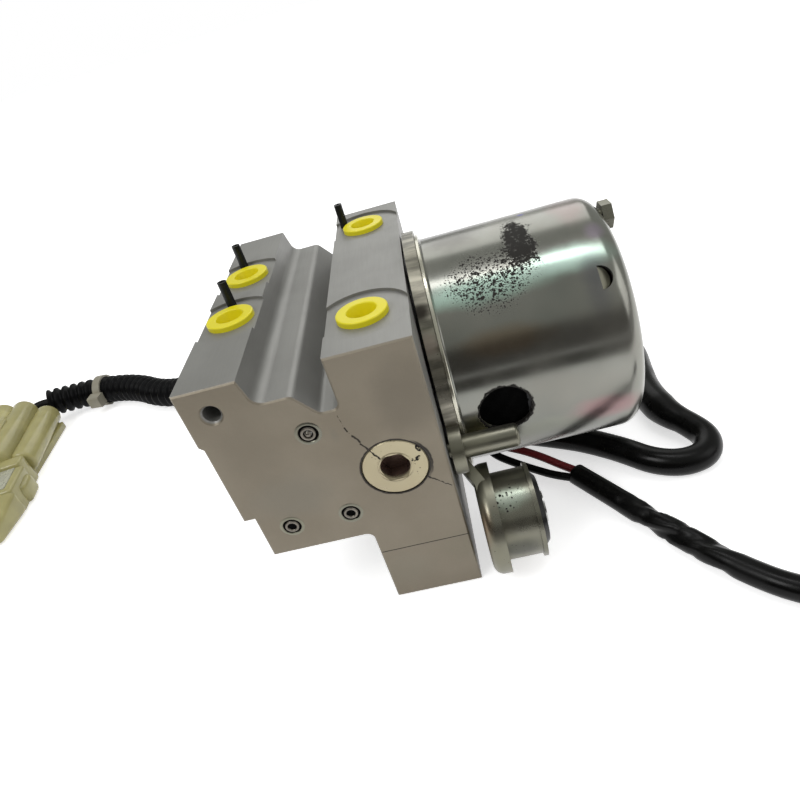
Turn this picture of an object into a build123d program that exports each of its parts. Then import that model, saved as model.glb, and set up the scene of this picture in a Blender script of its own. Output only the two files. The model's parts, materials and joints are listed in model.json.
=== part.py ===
from build123d import *
import math
import os

os.makedirs("parts", exist_ok=True)

# Anti-lock brake module: a drilled valve block with its pump motor on the right-hand face.
# X runs along the motor, Y along the block, Z up. The module stands on the block's foot
# and on the rims of its two mounting cups. Sizes are in millimetres.

# Clearances and wall contacts
press_gap = 0.0
slip_gap = 0.1
running_gap = 0.03

# Valve block: heights count up from the foot's underside, reaches count left from the motor face
block_length = 114.0
block_height = 93.6
body_height = 62.9
foot_width = 28.5
tower_width = 24.0
groove_depth = 15.6
groove_reach = 29.4
shelf_depth = 8.4
shelf_start = 35.2
shelf_end = 45.0
ledge_start = 47.0
ledge_reach = 65.1
lip_height = 17.5
lip_step = 1.2
pad_reach = 63.9
pad_drop = 46.8
pad_rise = 3.4
flank_reach = pad_reach - pad_rise
edge_break = 0.5
groove_round = 2.0
shelf_round = 2.5
ledge_foot_round = 3.5
foot_round = 2.5
body_bottom = block_height - body_height

# Ports in the two ledges, with their round seats and moulded plugs
port_radius = 4.6
port_depth = 19.0
seat_radius = 14.0
seat_depth = 0.9
tower_port_reach = 13.2
ledge_port_reach = 56.0
port_centre_y = 1.0
tower_port_spacing = 74.0
ledge_port_spacing = 33.5
plug_rim_radius = 7.6
plug_rim_height = 1.7
plug_stem_length = 9.0
plug_dish_radius = 4.4
plug_dish_floor_radius = 3.1
plug_dish_depth = 6.5

# Spring pins that stand in the ledges
pin_radius = 1.5
pin_bore_radius = 0.8
pin_slit = 0.6
pin_standing = 8.0
pin_sunk = 7.0
pin_places = [(57.7, -4.5), (59.2, 29.5), (20.8, 44.6)]

# Drilled holes: the galleries in both end faces, the thread in the front one
thread_radius = 2.5
thread_sink_radius = 3.3
thread_depth = 14.0
thread_reach = 57.0
thread_drop = 8.1
gallery_radius = 1.6
gallery_depth = 30.0
sleeve_radius = 3.5
sleeve_bore_radius = 1.7
sleeve_depth = 5.0
low_gallery_places = [(50.8, 52.5), (32.3, 52.5)]
high_gallery_place = (34.6, 21.0)
deep_ball_depth = 3.6
flush_ball_depth = 1.3

# Pump: two plungers on one eccentric, in line with the motor shaft
motor_drop = 39.4
motor_z = block_height - motor_drop
pump_reach = 15.0
pump_plug_radius = 9.78
pump_plug_depth = 10.0
hex_across_flats = 9.0
hex_depth = 6.0
plug_edge_groove = 0.5
pump_bore_radius = 6.0
plunger_radius = 4.0
plunger_length = 16.0
pump_spring_radius = 2.9
pump_spring_wire = 0.5
chamber_radius = 13.0
chamber_depth = 22.0
tail_bore_depth = 28.0
eccentricity = 1.2
cam_radius = 6.0
cam_ring_radius = 9.5
cam_ring_width = 8.0
tail_radius = 3.0

# Electric motor
gasket_thickness = 1.0
gasket_radius = 37.0
plate_thickness = 3.8
plate_radius = 43.0
can_radius = 39.5
can_wall = 1.6
can_length = 58.7
can_corner = 6.0
can_lip_radius = 41.3
can_lip_width = 1.3
bearing_cap_radius = 10.0
bearing_cap_height = 3.0
window_radius = 8.1
window_x = 19.9
window_below_axis = 2.4
window_z = motor_z - window_below_axis
vent_radius = 3.4
vent_x = 54.0
vent_angle = 35.0
base_thickness = 4.0
spigot_radius = 12.9
shaft_radius = 4.0
magnet_thickness = 8.5
magnet_start = 27.0
magnet_end = 55.0
magnet_half_angle = 62.0
air_gap = 1.0
slot_count = 12
slot_radius = 2.9
slot_ring_radius = 20.5
core_start = 29.5
core_end = 52.0
winding_overhang = 5.0
winding_bar_radius = 2.6
commutator_radius = 9.0
commutator_start = 14.0
commutator_end = 22.5
commutator_slit = 0.5
brush_width = 6.0
brush_thickness = 5.0
brush_length = 11.0
brush_card_start = 10.5
brush_card_thickness = 1.6
ball_bearing_radius = 9.5
ball_bearing_width = 6.0
bearing_ball_radius = 1.4
bearing_ball_count = 8
bearing_race_wall = 1.4

# Motor fasteners
tie_bolt_radius = 2.4
tie_bolt_ring = 33.9
tie_head_flats = 8.0
tie_head_height = 3.2
nut_radius = 3.7
nut_length = 17.0
nut_spread = 44.0
nut_below_axis = 8.8
nut_places = [(side * nut_spread, motor_z - nut_below_axis) for side in (-1, 1)]
stud_radius = 2.5
stud_depth = 8.0
ear_radius = 8.0

# Mounting cups on the bent straps of the motor plate
cup_y = 49.0
cup_z = 18.2
cup_flange_radius = 17.8
cup_flange_start = 4.8
cup_flange_end = 10.4
cup_flange_round = 3.2
cup_radius = 14.0
cup_wall = 1.6
cup_lip_radius = 15.0
cup_lip_width = 1.3
cup_end = 22.3
cup_floor = 3.2
cup_floor_hole = 9.0
strap_root_y = 28.0
strap_root_z = 36.0
strap_root_radius = 13.0
strap_end_radius = 15.6
strap_offset = 4.4
strap_bend_start = 9.0
strap_bend_length = 9.0
strap_bend_round = 4.0
grommet_hole_radius = 5.0
grommet_bulge = 1.8
grommet_bulge_radius = 12.0
bush_radius = 5.0
bush_bore_radius = 3.25
bush_overhang = 0.8

# Solenoid valves and their cover on the left-hand pad
pad_half_width = 29.0
pad_margin = 1.2
valve_spacing_y = 22.0
valve_spacing_z = 20.4
valve_bore_radius = 5.0
valve_bore_depth = 18.0
valve_tube_radius = 3.3
valve_tube_wall = 0.7
valve_tube_length = 13.6
armature_length = 8.0
armature_stroke = 0.7
coil_radius = 8.3
coil_flange = 1.4
coil_winding_radius = 7.4
coil_length = 12.4
cover_gasket = 0.8
cover_depth = 17.2
cover_wall = 2.0
cover_half_width = 23.5
cover_flange = 3.0
cover_round = 4.0
cover_screw_y = 26.2
cover_screw_z = 17.6
cover_screw_radius = 1.5
cover_screw_length = 10.0
cover_head_radius = 2.6
cover_head_height = 2.2
gland_radius = 6.0
gland_length = 8.0
gland_clearance = 1.0

# Low-pressure accumulators in the underside of the block
accumulator_reach = 44.5
accumulator_y = 32.0
accumulator_radius = 9.0
accumulator_depth = 20.0
accumulator_stroke = 5.0
piston_length = 7.0
piston_skirt_wall = 2.0
piston_skirt_depth = 4.0
cap_thickness = 2.6
spring_radius = 5.6
spring_wire = 1.1
spring_turns = 3

# Cords: diameters, and the points of each route in the module's own frame
conduit_diameter = 16.0
wiring_diameter = 6.0
lead_diameter = 3.0
sleeve_diameter = 7.6
hose_diameter = 9.6
connector_way = (0.152, -0.988, 0)
connector_width = 44.0
connector_height = 25.5
connector_length = 47.0
connector_round = 2.0
wing_width = 11.0
wing_height = 17.0
socket_depth = 14.0
plug_width = 39.0
plug_height = 20.0
plug_length = 52.0
plug_tip_width = 25.0
plug_tip_length = 14.0
tie_position = 0.857
tie_width = 4.5
tie_thickness = 1.2
tie_head = 7.0
lead_plug_width = 16.0
lead_plug_height = 12.0
lead_plug_length = 30.0

# The motor face is set so that the module's box is centred on the origin
cover_reach = pad_reach + cover_gasket + cover_depth
can_start = gasket_thickness + plate_thickness
can_end = can_start + can_length
motor_reach = can_end + tie_head_height
face_x = (cover_reach - motor_reach) / 2
half_length = block_length / 2

middle = Plane(origin=(face_x, 0, 0), x_dir=(1, 0, 0), z_dir=(0, -1, 0))
front = middle.offset(half_length)
motor_face = Plane(origin=(face_x, 0, 0), x_dir=(0, 1, 0), z_dir=(1, 0, 0))
pad_face = Plane(origin=(face_x - pad_reach, 0, 0), x_dir=(0, -1, 0), z_dir=(-1, 0, 0))
underside = Plane(origin=(face_x, 0, body_bottom), x_dir=(1, 0, 0), z_dir=(0, 0, -1))
ledges = Plane(origin=(face_x, 0, block_height))
motor_section = Plane(origin=(face_x, 0, motor_z), x_dir=(1, 0, 0), z_dir=(0, -1, 0))
motor_axis = Axis((face_x, 0, motor_z), (1, 0, 0))

port_places = [
    (-tower_port_reach, port_centre_y - tower_port_spacing / 2),
    (-tower_port_reach, port_centre_y + tower_port_spacing / 2),
    (-ledge_port_reach, port_centre_y - ledge_port_spacing / 2),
    (-ledge_port_reach, port_centre_y + ledge_port_spacing / 2),
]
pad_top = block_height - lip_height - lip_step
pad_bottom = body_bottom + pad_margin
valve_z = (pad_top + pad_bottom) / 2
high_gallery = (-high_gallery_place[0], block_height - high_gallery_place[1])
low_galleries = [(-reach, block_height - drop) for reach, drop in low_gallery_places]
galleries = [high_gallery] + low_galleries
bearing_start = -ball_bearing_width / 2


# Valve block: one extruded bar, drilled alike at both ends, with its thread in the front one
outline = [
    (0, 0),
    (0, block_height),
    (-tower_width, block_height),
    (-tower_width, block_height - groove_depth),
    (-groove_reach, block_height - groove_depth),
    (-shelf_start, block_height - shelf_depth),
    (-shelf_end, block_height - shelf_depth),
    (-ledge_start, block_height),
    (-ledge_reach, block_height),
    (-ledge_reach, block_height - lip_height),
    (-pad_reach, pad_top),
    (-pad_reach, block_height - pad_drop),
    (-flank_reach, block_height - pad_drop),
    (-flank_reach, body_bottom),
    (-foot_width, body_bottom),
    (-foot_width, 0),
]
outline_rounds = [0] * len(outline)
outline_rounds[3] = groove_round
outline_rounds[4] = groove_round
outline_rounds[5] = shelf_round
outline_rounds[6] = ledge_foot_round
outline_rounds[14] = foot_round

with BuildPart() as valve_block:
    with BuildSketch(middle):
        with BuildLine():
            FilletPolyline(*outline, radius=outline_rounds, close=True)
        make_face()
    extrude(amount=half_length)
    chamfer(valve_block.faces().sort_by(Axis.Y)[0].edges(), edge_break)
    with BuildSketch(pad_face):
        with Locations((pad_half_width / 2, valve_z)):
            Rectangle(pad_half_width, pad_top - pad_bottom)
    extrude(amount=-pad_rise)
    with BuildSketch(front):
        with Locations((-pump_reach, motor_z)):
            Circle(pump_plug_radius)
    extrude(amount=-pump_plug_depth, mode=Mode.SUBTRACT)
    with BuildSketch(front):
        with Locations((-pump_reach, motor_z)):
            Circle(pump_bore_radius)
    extrude(amount=-half_length, mode=Mode.SUBTRACT)
    with Locations(front):
        with Locations(*galleries):
            CounterBoreHole(gallery_radius, sleeve_radius, sleeve_depth, gallery_depth)
    with Locations(pad_face):
        with Locations(*[(valve_spacing_y / 2, valve_z + side * valve_spacing_z / 2) for side in (-1, 1)]):
            Hole(valve_bore_radius, valve_bore_depth)
        with Locations(*[(cover_screw_y, valve_z + side * cover_screw_z) for side in (-1, 1)]):
            Hole(cover_screw_radius, cover_screw_length)
    with Locations(underside):
        with Locations((-accumulator_reach, accumulator_y)):
            Hole(accumulator_radius, accumulator_depth)
    mirror(about=Plane.XZ)
    with Locations(front):
        with Locations((-thread_reach, block_height - thread_drop)):
            CounterSinkHole(thread_radius, thread_sink_radius, thread_depth)
    with Locations(motor_face):
        with Locations((0, motor_z)):
            Hole(chamber_radius, chamber_depth)
            Hole(tail_radius + running_gap, tail_bore_depth)
        with Locations(*nut_places):
            Hole(stud_radius, stud_depth)
    with Locations(ledges):
        with Locations(*port_places):
            CounterBoreHole(port_radius, seat_radius, seat_depth, port_depth)
        with Locations(*[(-reach, y) for reach, y in pin_places]):
            Hole(pin_radius, pin_sunk)
valve_block.part.label = "valve_block"
export_step(valve_block.part, "parts/valve_block.step")


# Yellow moulded plugs in the four ports: a rim with a dished stem
rim_top = block_height - seat_depth + plug_rim_height
for number, (port_x, port_y) in enumerate(port_places, start=1):
    with BuildPart() as port_plug:
        with BuildSketch(Plane(origin=(face_x + port_x, port_y, 0), x_dir=(1, 0, 0), z_dir=(0, -1, 0))):
            with BuildLine():
                Polyline(
                    (0, rim_top - plug_dish_depth),
                    (plug_dish_floor_radius, rim_top - plug_dish_depth),
                    (plug_dish_radius, rim_top),
                    (plug_rim_radius, rim_top),
                    (plug_rim_radius, rim_top - plug_rim_height),
                    (port_radius - slip_gap, rim_top - plug_rim_height),
                    (port_radius - slip_gap, rim_top - plug_rim_height - plug_stem_length),
                    (0, rim_top - plug_rim_height - plug_stem_length),
                    close=True,
                )
            make_face()
        revolve(axis=Axis((face_x + port_x, port_y, 0), (0, 0, 1)))
        rim_edges = port_plug.edges().filter_by_position(Axis.Z, rim_top - 0.01, rim_top + 0.01)
        fillet(rim_edges, plug_rim_height / 4)
    port_plug.part.label = f"port_plug_{number}"
    export_step(port_plug.part, f"parts/port_plug_{number}.step")


# Slit spring pins standing in the ledges
with BuildPart() as locating_pins:
    with BuildSketch(ledges.offset(-pin_sunk)):
        with Locations(*[(-reach, y) for reach, y in pin_places]):
            Circle(pin_radius)
            Circle(pin_bore_radius, mode=Mode.SUBTRACT)
            with Locations((pin_radius, 0)):
                Rectangle(2 * pin_radius, pin_slit, mode=Mode.SUBTRACT)
    extrude(amount=pin_sunk + pin_standing)
locating_pins.part.label = "locating_pins"
export_step(locating_pins.part, "parts/locating_pins.step")


# Expander sleeves that close the drilled galleries, each with its ball
with BuildPart() as gallery_sleeves:
    with BuildSketch(front):
        with Locations(*galleries):
            Circle(sleeve_radius)
            Circle(sleeve_bore_radius, mode=Mode.SUBTRACT)
    extrude(amount=-sleeve_depth)
    mirror(about=Plane.XZ)
gallery_sleeves.part.label = "gallery_sleeves"
export_step(gallery_sleeves.part, "parts/gallery_sleeves.step")

with BuildPart() as gallery_balls:
    with Locations(front.offset(-flush_ball_depth)):
        with Locations(high_gallery):
            Sphere(sleeve_bore_radius)
    with Locations(front.offset(-deep_ball_depth)):
        with Locations(*low_galleries):
            Sphere(sleeve_bore_radius)
    mirror(about=Plane.XZ)
gallery_balls.part.label = "gallery_balls"
export_step(gallery_balls.part, "parts/gallery_balls.step")


# Pump plugs: plated screw plugs with a hexagon socket, flush in the block's ends
plunger_tip = cam_ring_radius + eccentricity + slip_gap
plunger_tail = plunger_tip + plunger_length
cartridge_end = half_length - pump_plug_depth
for side, end_name in ((-1, "front"), (1, "rear")):
    end_face = Plane(origin=(face_x, side * half_length, 0), x_dir=(-side, 0, 0), z_dir=(0, side, 0))
    pump_place = (side * pump_reach, motor_z)
    with BuildPart() as pump_plug:
        with BuildSketch(end_face):
            with Locations(pump_place):
                Circle(pump_plug_radius - press_gap)
        extrude(amount=-pump_plug_depth)
        chamfer(pump_plug.faces().sort_by(Axis.Y)[-1 if side > 0 else 0].edges(), plug_edge_groove)
        with BuildSketch(end_face):
            with Locations(pump_place):
                RegularPolygon(hex_across_flats / 2, 6, major_radius=False)
        extrude(amount=-hex_depth, mode=Mode.SUBTRACT)
    pump_plug.part.label = f"pump_plug_{end_name}"
    export_step(pump_plug.part, f"parts/pump_plug_{end_name}.step")

# Plungers in their cartridges, both at the outer end of their strokes
with BuildPart() as plungers:
    with BuildSketch(middle.offset(plunger_tip)):
        with Locations((-pump_reach, motor_z)):
            Circle(plunger_radius - running_gap)
    extrude(amount=plunger_length)
    mirror(about=Plane.XZ)
plungers.part.label = "plungers"
export_step(plungers.part, "parts/plungers.step")

with BuildPart() as pump_cartridges:
    with BuildSketch(middle.offset(chamber_radius + slip_gap)):
        with Locations((-pump_reach, motor_z)):
            Circle(pump_bore_radius)
            Circle(plunger_radius, mode=Mode.SUBTRACT)
    extrude(amount=cartridge_end - chamber_radius - slip_gap)
    mirror(about=Plane.XZ)
pump_cartridges.part.label = "pump_cartridges"
export_step(pump_cartridges.part, "parts/pump_cartridges.step")

with BuildPart() as plunger_springs:
    spring_plane = middle.offset(plunger_tail + pump_spring_wire)
    with BuildLine():
        Helix(
            pitch=(cartridge_end - plunger_tail - 2 * pump_spring_wire) / spring_turns,
            height=cartridge_end - plunger_tail - 2 * pump_spring_wire,
            radius=pump_spring_radius,
            center=(face_x - pump_reach, spring_plane.origin.Y, motor_z),
            direction=(0, -1, 0),
        )
    spring_path = plunger_springs.pending_edges[0]
    with BuildSketch(Plane(origin=spring_path @ 0, z_dir=spring_path % 0)):
        Circle(pump_spring_wire)
    sweep(path=spring_path, is_frenet=True)
    mirror(about=Plane.XZ)
plunger_springs.part.label = "plunger_springs"
export_step(plunger_springs.part, "parts/plunger_springs.step")


# Motor gasket: the dark line between the block and the motor plate
with BuildPart() as motor_gasket:
    with BuildSketch(motor_face):
        with Locations((0, motor_z)):
            Circle(gasket_radius)
            Circle(chamber_radius + slip_gap, mode=Mode.SUBTRACT)
    extrude(amount=gasket_thickness)
motor_gasket.part.label = "motor_gasket"
export_step(motor_gasket.part, "parts/motor_gasket.step")


# Motor plate with two bent straps, each ending in a drawn cup. The blank of a strap is cut
# out of a bent sheet, so its outline and its bend stay independent of each other.
strap_run = Vector(0, -cup_y + strap_root_y, cup_flange_radius - strap_root_z)
strap_end = strap_run.length + cup_flange_radius
strap_side = Plane(
    origin=(face_x, -strap_root_y, strap_root_z),
    x_dir=strap_run,
    z_dir=Vector(1, 0, 0).cross(strap_run),
)
bend_end = strap_bend_start + strap_bend_length
cup_centre = (-cup_y, cup_flange_radius)
cup_section = Plane(origin=(face_x, -cup_y, cup_z), x_dir=(1, 0, 0), z_dir=(0, -1, 0))
with BuildPart() as motor_bracket:
    with BuildSketch(strap_side):
        with BuildLine():
            FilletPolyline(
                (-strap_root_radius, -gasket_thickness),
                (strap_bend_start, -gasket_thickness),
                (bend_end, -gasket_thickness - strap_offset),
                (strap_end, -gasket_thickness - strap_offset),
                (strap_end, -gasket_thickness - strap_offset - plate_thickness),
                (bend_end, -gasket_thickness - strap_offset - plate_thickness),
                (strap_bend_start, -gasket_thickness - plate_thickness),
                (-strap_root_radius, -gasket_thickness - plate_thickness),
                radius=[0, strap_bend_round, strap_bend_round, 0, 0, strap_bend_round, strap_bend_round, 0],
                close=True,
            )
        make_face()
    extrude(amount=cup_flange_radius, both=True)
    with BuildSketch(motor_face):
        with BuildLine():
            CenterArc((-strap_root_y, strap_root_z), strap_root_radius, 0, 360)
            CenterArc(cup_centre, strap_end_radius, 0, 360)
        make_hull()
    extrude(amount=can_end, mode=Mode.INTERSECT)
    with BuildSketch(motor_face):
        with Locations(cup_centre):
            Circle(cup_radius)
    extrude(amount=can_end, mode=Mode.SUBTRACT)
    with BuildSketch(cup_section):
        with BuildLine():
            FilletPolyline(
                (cup_flange_start, cup_floor_hole),
                (cup_flange_start, cup_flange_radius),
                (cup_flange_end, cup_flange_radius),
                (cup_flange_end, cup_radius),
                (cup_end - cup_lip_width, cup_radius),
                (cup_end - cup_lip_width, cup_lip_radius),
                (cup_end, cup_lip_radius),
                (cup_end, cup_radius - cup_wall),
                (cup_flange_start + cup_floor, cup_radius - cup_wall),
                (cup_flange_start + cup_floor, cup_floor_hole),
                radius=[0, cup_flange_round, 0, 0, 0, 0, 0, 0, 0, 0],
                close=True,
            )
        make_face()
    revolve(axis=Axis(cup_section.origin, (1, 0, 0)))
    mirror(about=Plane.XZ)
    with BuildSketch(motor_face.offset(gasket_thickness)):
        with Locations((0, motor_z)):
            Circle(plate_radius)
        with Locations(*nut_places):
            Circle(ear_radius)
    extrude(amount=plate_thickness)
    with BuildSketch(motor_face):
        with Locations((0, motor_z)):
            Circle(spigot_radius + slip_gap)
        with Locations(*nut_places):
            Circle(stud_radius + slip_gap)
    extrude(amount=can_start, mode=Mode.SUBTRACT)
motor_bracket.part.label = "motor_bracket"
export_step(motor_bracket.part, "parts/motor_bracket.step")


# Long cap nuts on their studs, which hold the motor plate to the block
with BuildPart() as motor_nuts:
    with BuildSketch(motor_face.offset(can_start)):
        with Locations(*nut_places):
            Circle(nut_radius)
    extrude(amount=nut_length)
    fillet(motor_nuts.faces().filter_by(Axis.X).group_by(Axis.X)[-1].edges(), nut_radius / 3)
    with BuildSketch(motor_face.offset(-stud_depth)):
        with Locations(*nut_places):
            Circle(stud_radius)
    extrude(amount=stud_depth + can_start)
motor_nuts.part.label = "motor_nuts"
export_step(motor_nuts.part, "parts/motor_nuts.step")


# Motor can: deep drawn, with a rolled lip, a rounded end, a window and a half-round vent
can_inner = can_radius - can_wall
with BuildPart() as motor_can:
    with BuildSketch(motor_section):
        with BuildLine():
            FilletPolyline(
                (can_start, can_inner),
                (can_start, can_lip_radius),
                (can_start + can_lip_width, can_lip_radius),
                (can_start + can_lip_width, can_radius),
                (can_end, can_radius),
                (can_end, bearing_cap_radius),
                (can_end + bearing_cap_height, bearing_cap_radius - can_wall),
                (can_end + bearing_cap_height, 0),
                (can_end + bearing_cap_height - can_wall, 0),
                (can_end + bearing_cap_height - can_wall, shaft_radius + bearing_race_wall),
                (can_end - can_wall, shaft_radius + bearing_race_wall),
                (can_end - can_wall, can_inner),
                radius=[0, 0, 0, 0, can_corner, 0, 1, 0, 0, 0, 0, can_corner - can_wall],
                close=True,
            )
        make_face()
    revolve(axis=motor_axis)
    with BuildSketch(middle.offset(can_inner - magnet_thickness)):
        with Locations((window_x, window_z)):
            Circle(window_radius)
    extrude(amount=can_radius, mode=Mode.SUBTRACT)
    vent_way = Vector(0, -math.cos(math.radians(vent_angle)), math.sin(math.radians(vent_angle)))
    with BuildSketch(Plane(origin=motor_axis.position, x_dir=(1, 0, 0), z_dir=vent_way).offset(can_inner - 1)):
        with Locations((vent_x, 0)):
            Circle(vent_radius)
            with Locations((-vent_radius, 0)):
                Rectangle(2 * vent_radius, 2 * vent_radius, mode=Mode.SUBTRACT)
    extrude(amount=can_radius, mode=Mode.SUBTRACT)
    with BuildSketch(motor_face.offset(can_end - 2 * can_wall)):
        with Locations(*[(0, motor_z + side * tie_bolt_ring) for side in (-1, 1)]):
            Circle(tie_bolt_radius + slip_gap)
    extrude(amount=4 * can_wall, mode=Mode.SUBTRACT)
    with BuildSketch(motor_face.offset(can_start)):
        with Locations(*nut_places):
            Circle(nut_radius + slip_gap)
    extrude(amount=can_lip_width, mode=Mode.SUBTRACT)
motor_can.part.label = "motor_can"
export_step(motor_can.part, "parts/motor_can.step")


# Motor base: die-cast closing plate with the spigot that carries the front bearing
with BuildPart() as motor_base:
    with BuildSketch(motor_section):
        with BuildLine():
            Polyline(
                (bearing_start, ball_bearing_radius),
                (bearing_start, spigot_radius),
                (can_start, spigot_radius),
                (can_start, can_inner - slip_gap),
                (can_start + base_thickness, can_inner - slip_gap),
                (can_start + base_thickness, shaft_radius + bearing_race_wall),
                (-bearing_start, shaft_radius + bearing_race_wall),
                (-bearing_start, ball_bearing_radius),
                close=True,
            )
        make_face()
    revolve(axis=motor_axis)
    with BuildSketch(motor_face.offset(can_start)):
        with Locations(*[(0, motor_z + side * tie_bolt_ring) for side in (-1, 1)]):
            Circle(tie_bolt_radius)
    extrude(amount=base_thickness, mode=Mode.SUBTRACT)
motor_base.part.label = "motor_base"
export_step(motor_base.part, "parts/motor_base.step")


# Tie bolts that clamp the can to its base, with hexagon heads on the end face
with BuildPart() as tie_bolts:
    with BuildSketch(motor_face.offset(can_start)):
        with Locations(*[(0, motor_z + side * tie_bolt_ring) for side in (-1, 1)]):
            Circle(tie_bolt_radius)
    extrude(amount=can_length)
    with BuildSketch(motor_face.offset(can_end)):
        with Locations(*[(0, motor_z + side * tie_bolt_ring) for side in (-1, 1)]):
            RegularPolygon(tie_head_flats / 2, 6, major_radius=False)
    extrude(amount=tie_head_height)
tie_bolts.part.label = "tie_bolts"
export_step(tie_bolts.part, "parts/tie_bolts.step")


# Field magnets: two arcs behind the window and opposite it, clear of the tie bolts
magnet_inner = can_inner - magnet_thickness
for side, end_name in ((-1, "front"), (1, "rear")):
    with BuildPart() as magnet:
        with BuildSketch(motor_face.offset(magnet_start)):
            with Locations((0, motor_z)):
                Circle(can_inner - slip_gap)
                Circle(magnet_inner, mode=Mode.SUBTRACT)
                with BuildLine(mode=Mode.PRIVATE) as sector:
                    reach = 2 * can_radius
                    rise = reach * math.tan(math.radians(magnet_half_angle))
                    Polyline((0, 0), (side * reach, rise), (side * reach, -rise), close=True)
                add(make_face(sector.edges(), mode=Mode.PRIVATE), mode=Mode.INTERSECT)
        extrude(amount=magnet_end - magnet_start)
    magnet.part.label = f"magnet_{end_name}"
    export_step(magnet.part, f"parts/magnet_{end_name}.step")


# Motor shaft with the pump's eccentric and tail journal in one piece
with BuildPart() as motor_shaft:
    with BuildSketch(motor_face.offset(-tail_bore_depth + slip_gap)):
        with Locations((0, motor_z)):
            Circle(tail_radius)
    extrude(amount=tail_bore_depth)
    with BuildSketch(motor_face.offset(-pump_reach - cam_ring_width / 2)):
        with Locations((0, motor_z + eccentricity)):
            Circle(cam_radius)
    extrude(amount=cam_ring_width)
    with BuildSketch(motor_face.offset(bearing_start)):
        with Locations((0, motor_z)):
            Circle(shaft_radius)
    extrude(amount=can_end + bearing_cap_height - can_wall - slip_gap - bearing_start)
motor_shaft.part.label = "motor_shaft"
export_step(motor_shaft.part, "parts/motor_shaft.step")


# Needle ring that rides on the eccentric and pushes the plungers
with BuildPart() as cam_ring:
    with BuildSketch(motor_face.offset(-pump_reach - cam_ring_width / 2)):
        with Locations((0, motor_z + eccentricity)):
            Circle(cam_ring_radius)
            Circle(cam_radius + running_gap, mode=Mode.SUBTRACT)
    extrude(amount=cam_ring_width)
cam_ring.part.label = "cam_ring"
export_step(cam_ring.part, "parts/cam_ring.step")


# Front ball bearing of the shaft: outer race in the spigot, inner race on the shaft
ball_circle = (ball_bearing_radius + shaft_radius) / 2
ball_groove = bearing_ball_radius + running_gap
with BuildPart() as bearing_outer:
    with BuildSketch(motor_face.offset(bearing_start)):
        with Locations((0, motor_z)):
            Circle(ball_bearing_radius)
            Circle(ball_bearing_radius - bearing_race_wall, mode=Mode.SUBTRACT)
    extrude(amount=ball_bearing_width)
    with BuildSketch(motor_section):
        with Locations((0, ball_circle)):
            Circle(ball_groove)
    revolve(axis=motor_axis, mode=Mode.SUBTRACT)
bearing_outer.part.label = "bearing_outer"
export_step(bearing_outer.part, "parts/bearing_outer.step")

with BuildPart() as bearing_inner:
    with BuildSketch(motor_face.offset(bearing_start)):
        with Locations((0, motor_z)):
            Circle(shaft_radius + bearing_race_wall - slip_gap)
            Circle(shaft_radius, mode=Mode.SUBTRACT)
    extrude(amount=ball_bearing_width)
    with BuildSketch(motor_section):
        with Locations((0, ball_circle)):
            Circle(ball_groove)
    revolve(axis=motor_axis, mode=Mode.SUBTRACT)
bearing_inner.part.label = "bearing_inner"
export_step(bearing_inner.part, "parts/bearing_inner.step")

with BuildPart() as bearing_balls:
    with Locations(motor_face):
        with Locations((0, motor_z)):
            with PolarLocations(ball_circle, bearing_ball_count):
                Sphere(bearing_ball_radius)
bearing_balls.part.label = "bearing_balls"
export_step(bearing_balls.part, "parts/bearing_balls.step")

# Plain bush in the can's bearing cap
with BuildPart() as end_bush:
    with BuildSketch(motor_face.offset(can_end - can_wall - 2)):
        with Locations((0, motor_z)):
            Circle(shaft_radius + bearing_race_wall)
            Circle(shaft_radius + running_gap, mode=Mode.SUBTRACT)
    extrude(amount=bearing_cap_height + 2)
end_bush.part.label = "end_bush"
export_step(end_bush.part, "parts/end_bush.step")


# Armature: slotted core, one winding that fills the slots, and the commutator
core_radius = magnet_inner - air_gap
with BuildPart() as armature_core:
    with BuildSketch(motor_face.offset(core_start)):
        with Locations((0, motor_z)):
            Circle(core_radius)
            Circle(shaft_radius, mode=Mode.SUBTRACT)
            with PolarLocations(slot_ring_radius, slot_count):
                Circle(slot_radius, mode=Mode.SUBTRACT)
            with PolarLocations(core_radius, slot_count):
                Rectangle(2 * (core_radius - slot_ring_radius), slot_radius / 2, mode=Mode.SUBTRACT)
    extrude(amount=core_end - core_start)
armature_core.part.label = "armature_core"
export_step(armature_core.part, "parts/armature_core.step")

with BuildPart() as armature_winding:
    with BuildSketch(motor_face.offset(core_start)):
        with Locations((0, motor_z)):
            with PolarLocations(slot_ring_radius, slot_count):
                Circle(winding_bar_radius)
    extrude(amount=core_end - core_start)
    winding_outer = slot_ring_radius + winding_bar_radius
    winding_inner = slot_ring_radius / 2
    for start in (core_start - winding_overhang, core_end):
        with BuildSketch(motor_section):
            with Locations((start + winding_overhang / 2, (winding_outer + winding_inner) / 2)):
                RectangleRounded(winding_overhang, winding_outer - winding_inner, winding_overhang / 3)
        revolve(axis=motor_axis)
armature_winding.part.label = "armature_winding"
export_step(armature_winding.part, "parts/armature_winding.step")

with BuildPart() as commutator:
    with BuildSketch(motor_face.offset(commutator_start)):
        with Locations((0, motor_z)):
            Circle(commutator_radius)
            Circle(shaft_radius, mode=Mode.SUBTRACT)
            with PolarLocations(commutator_radius, slot_count):
                Rectangle(2 * bearing_race_wall, commutator_slit, mode=Mode.SUBTRACT)
    extrude(amount=commutator_end - commutator_start)
commutator.part.label = "commutator"
export_step(commutator.part, "parts/commutator.step")


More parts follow.
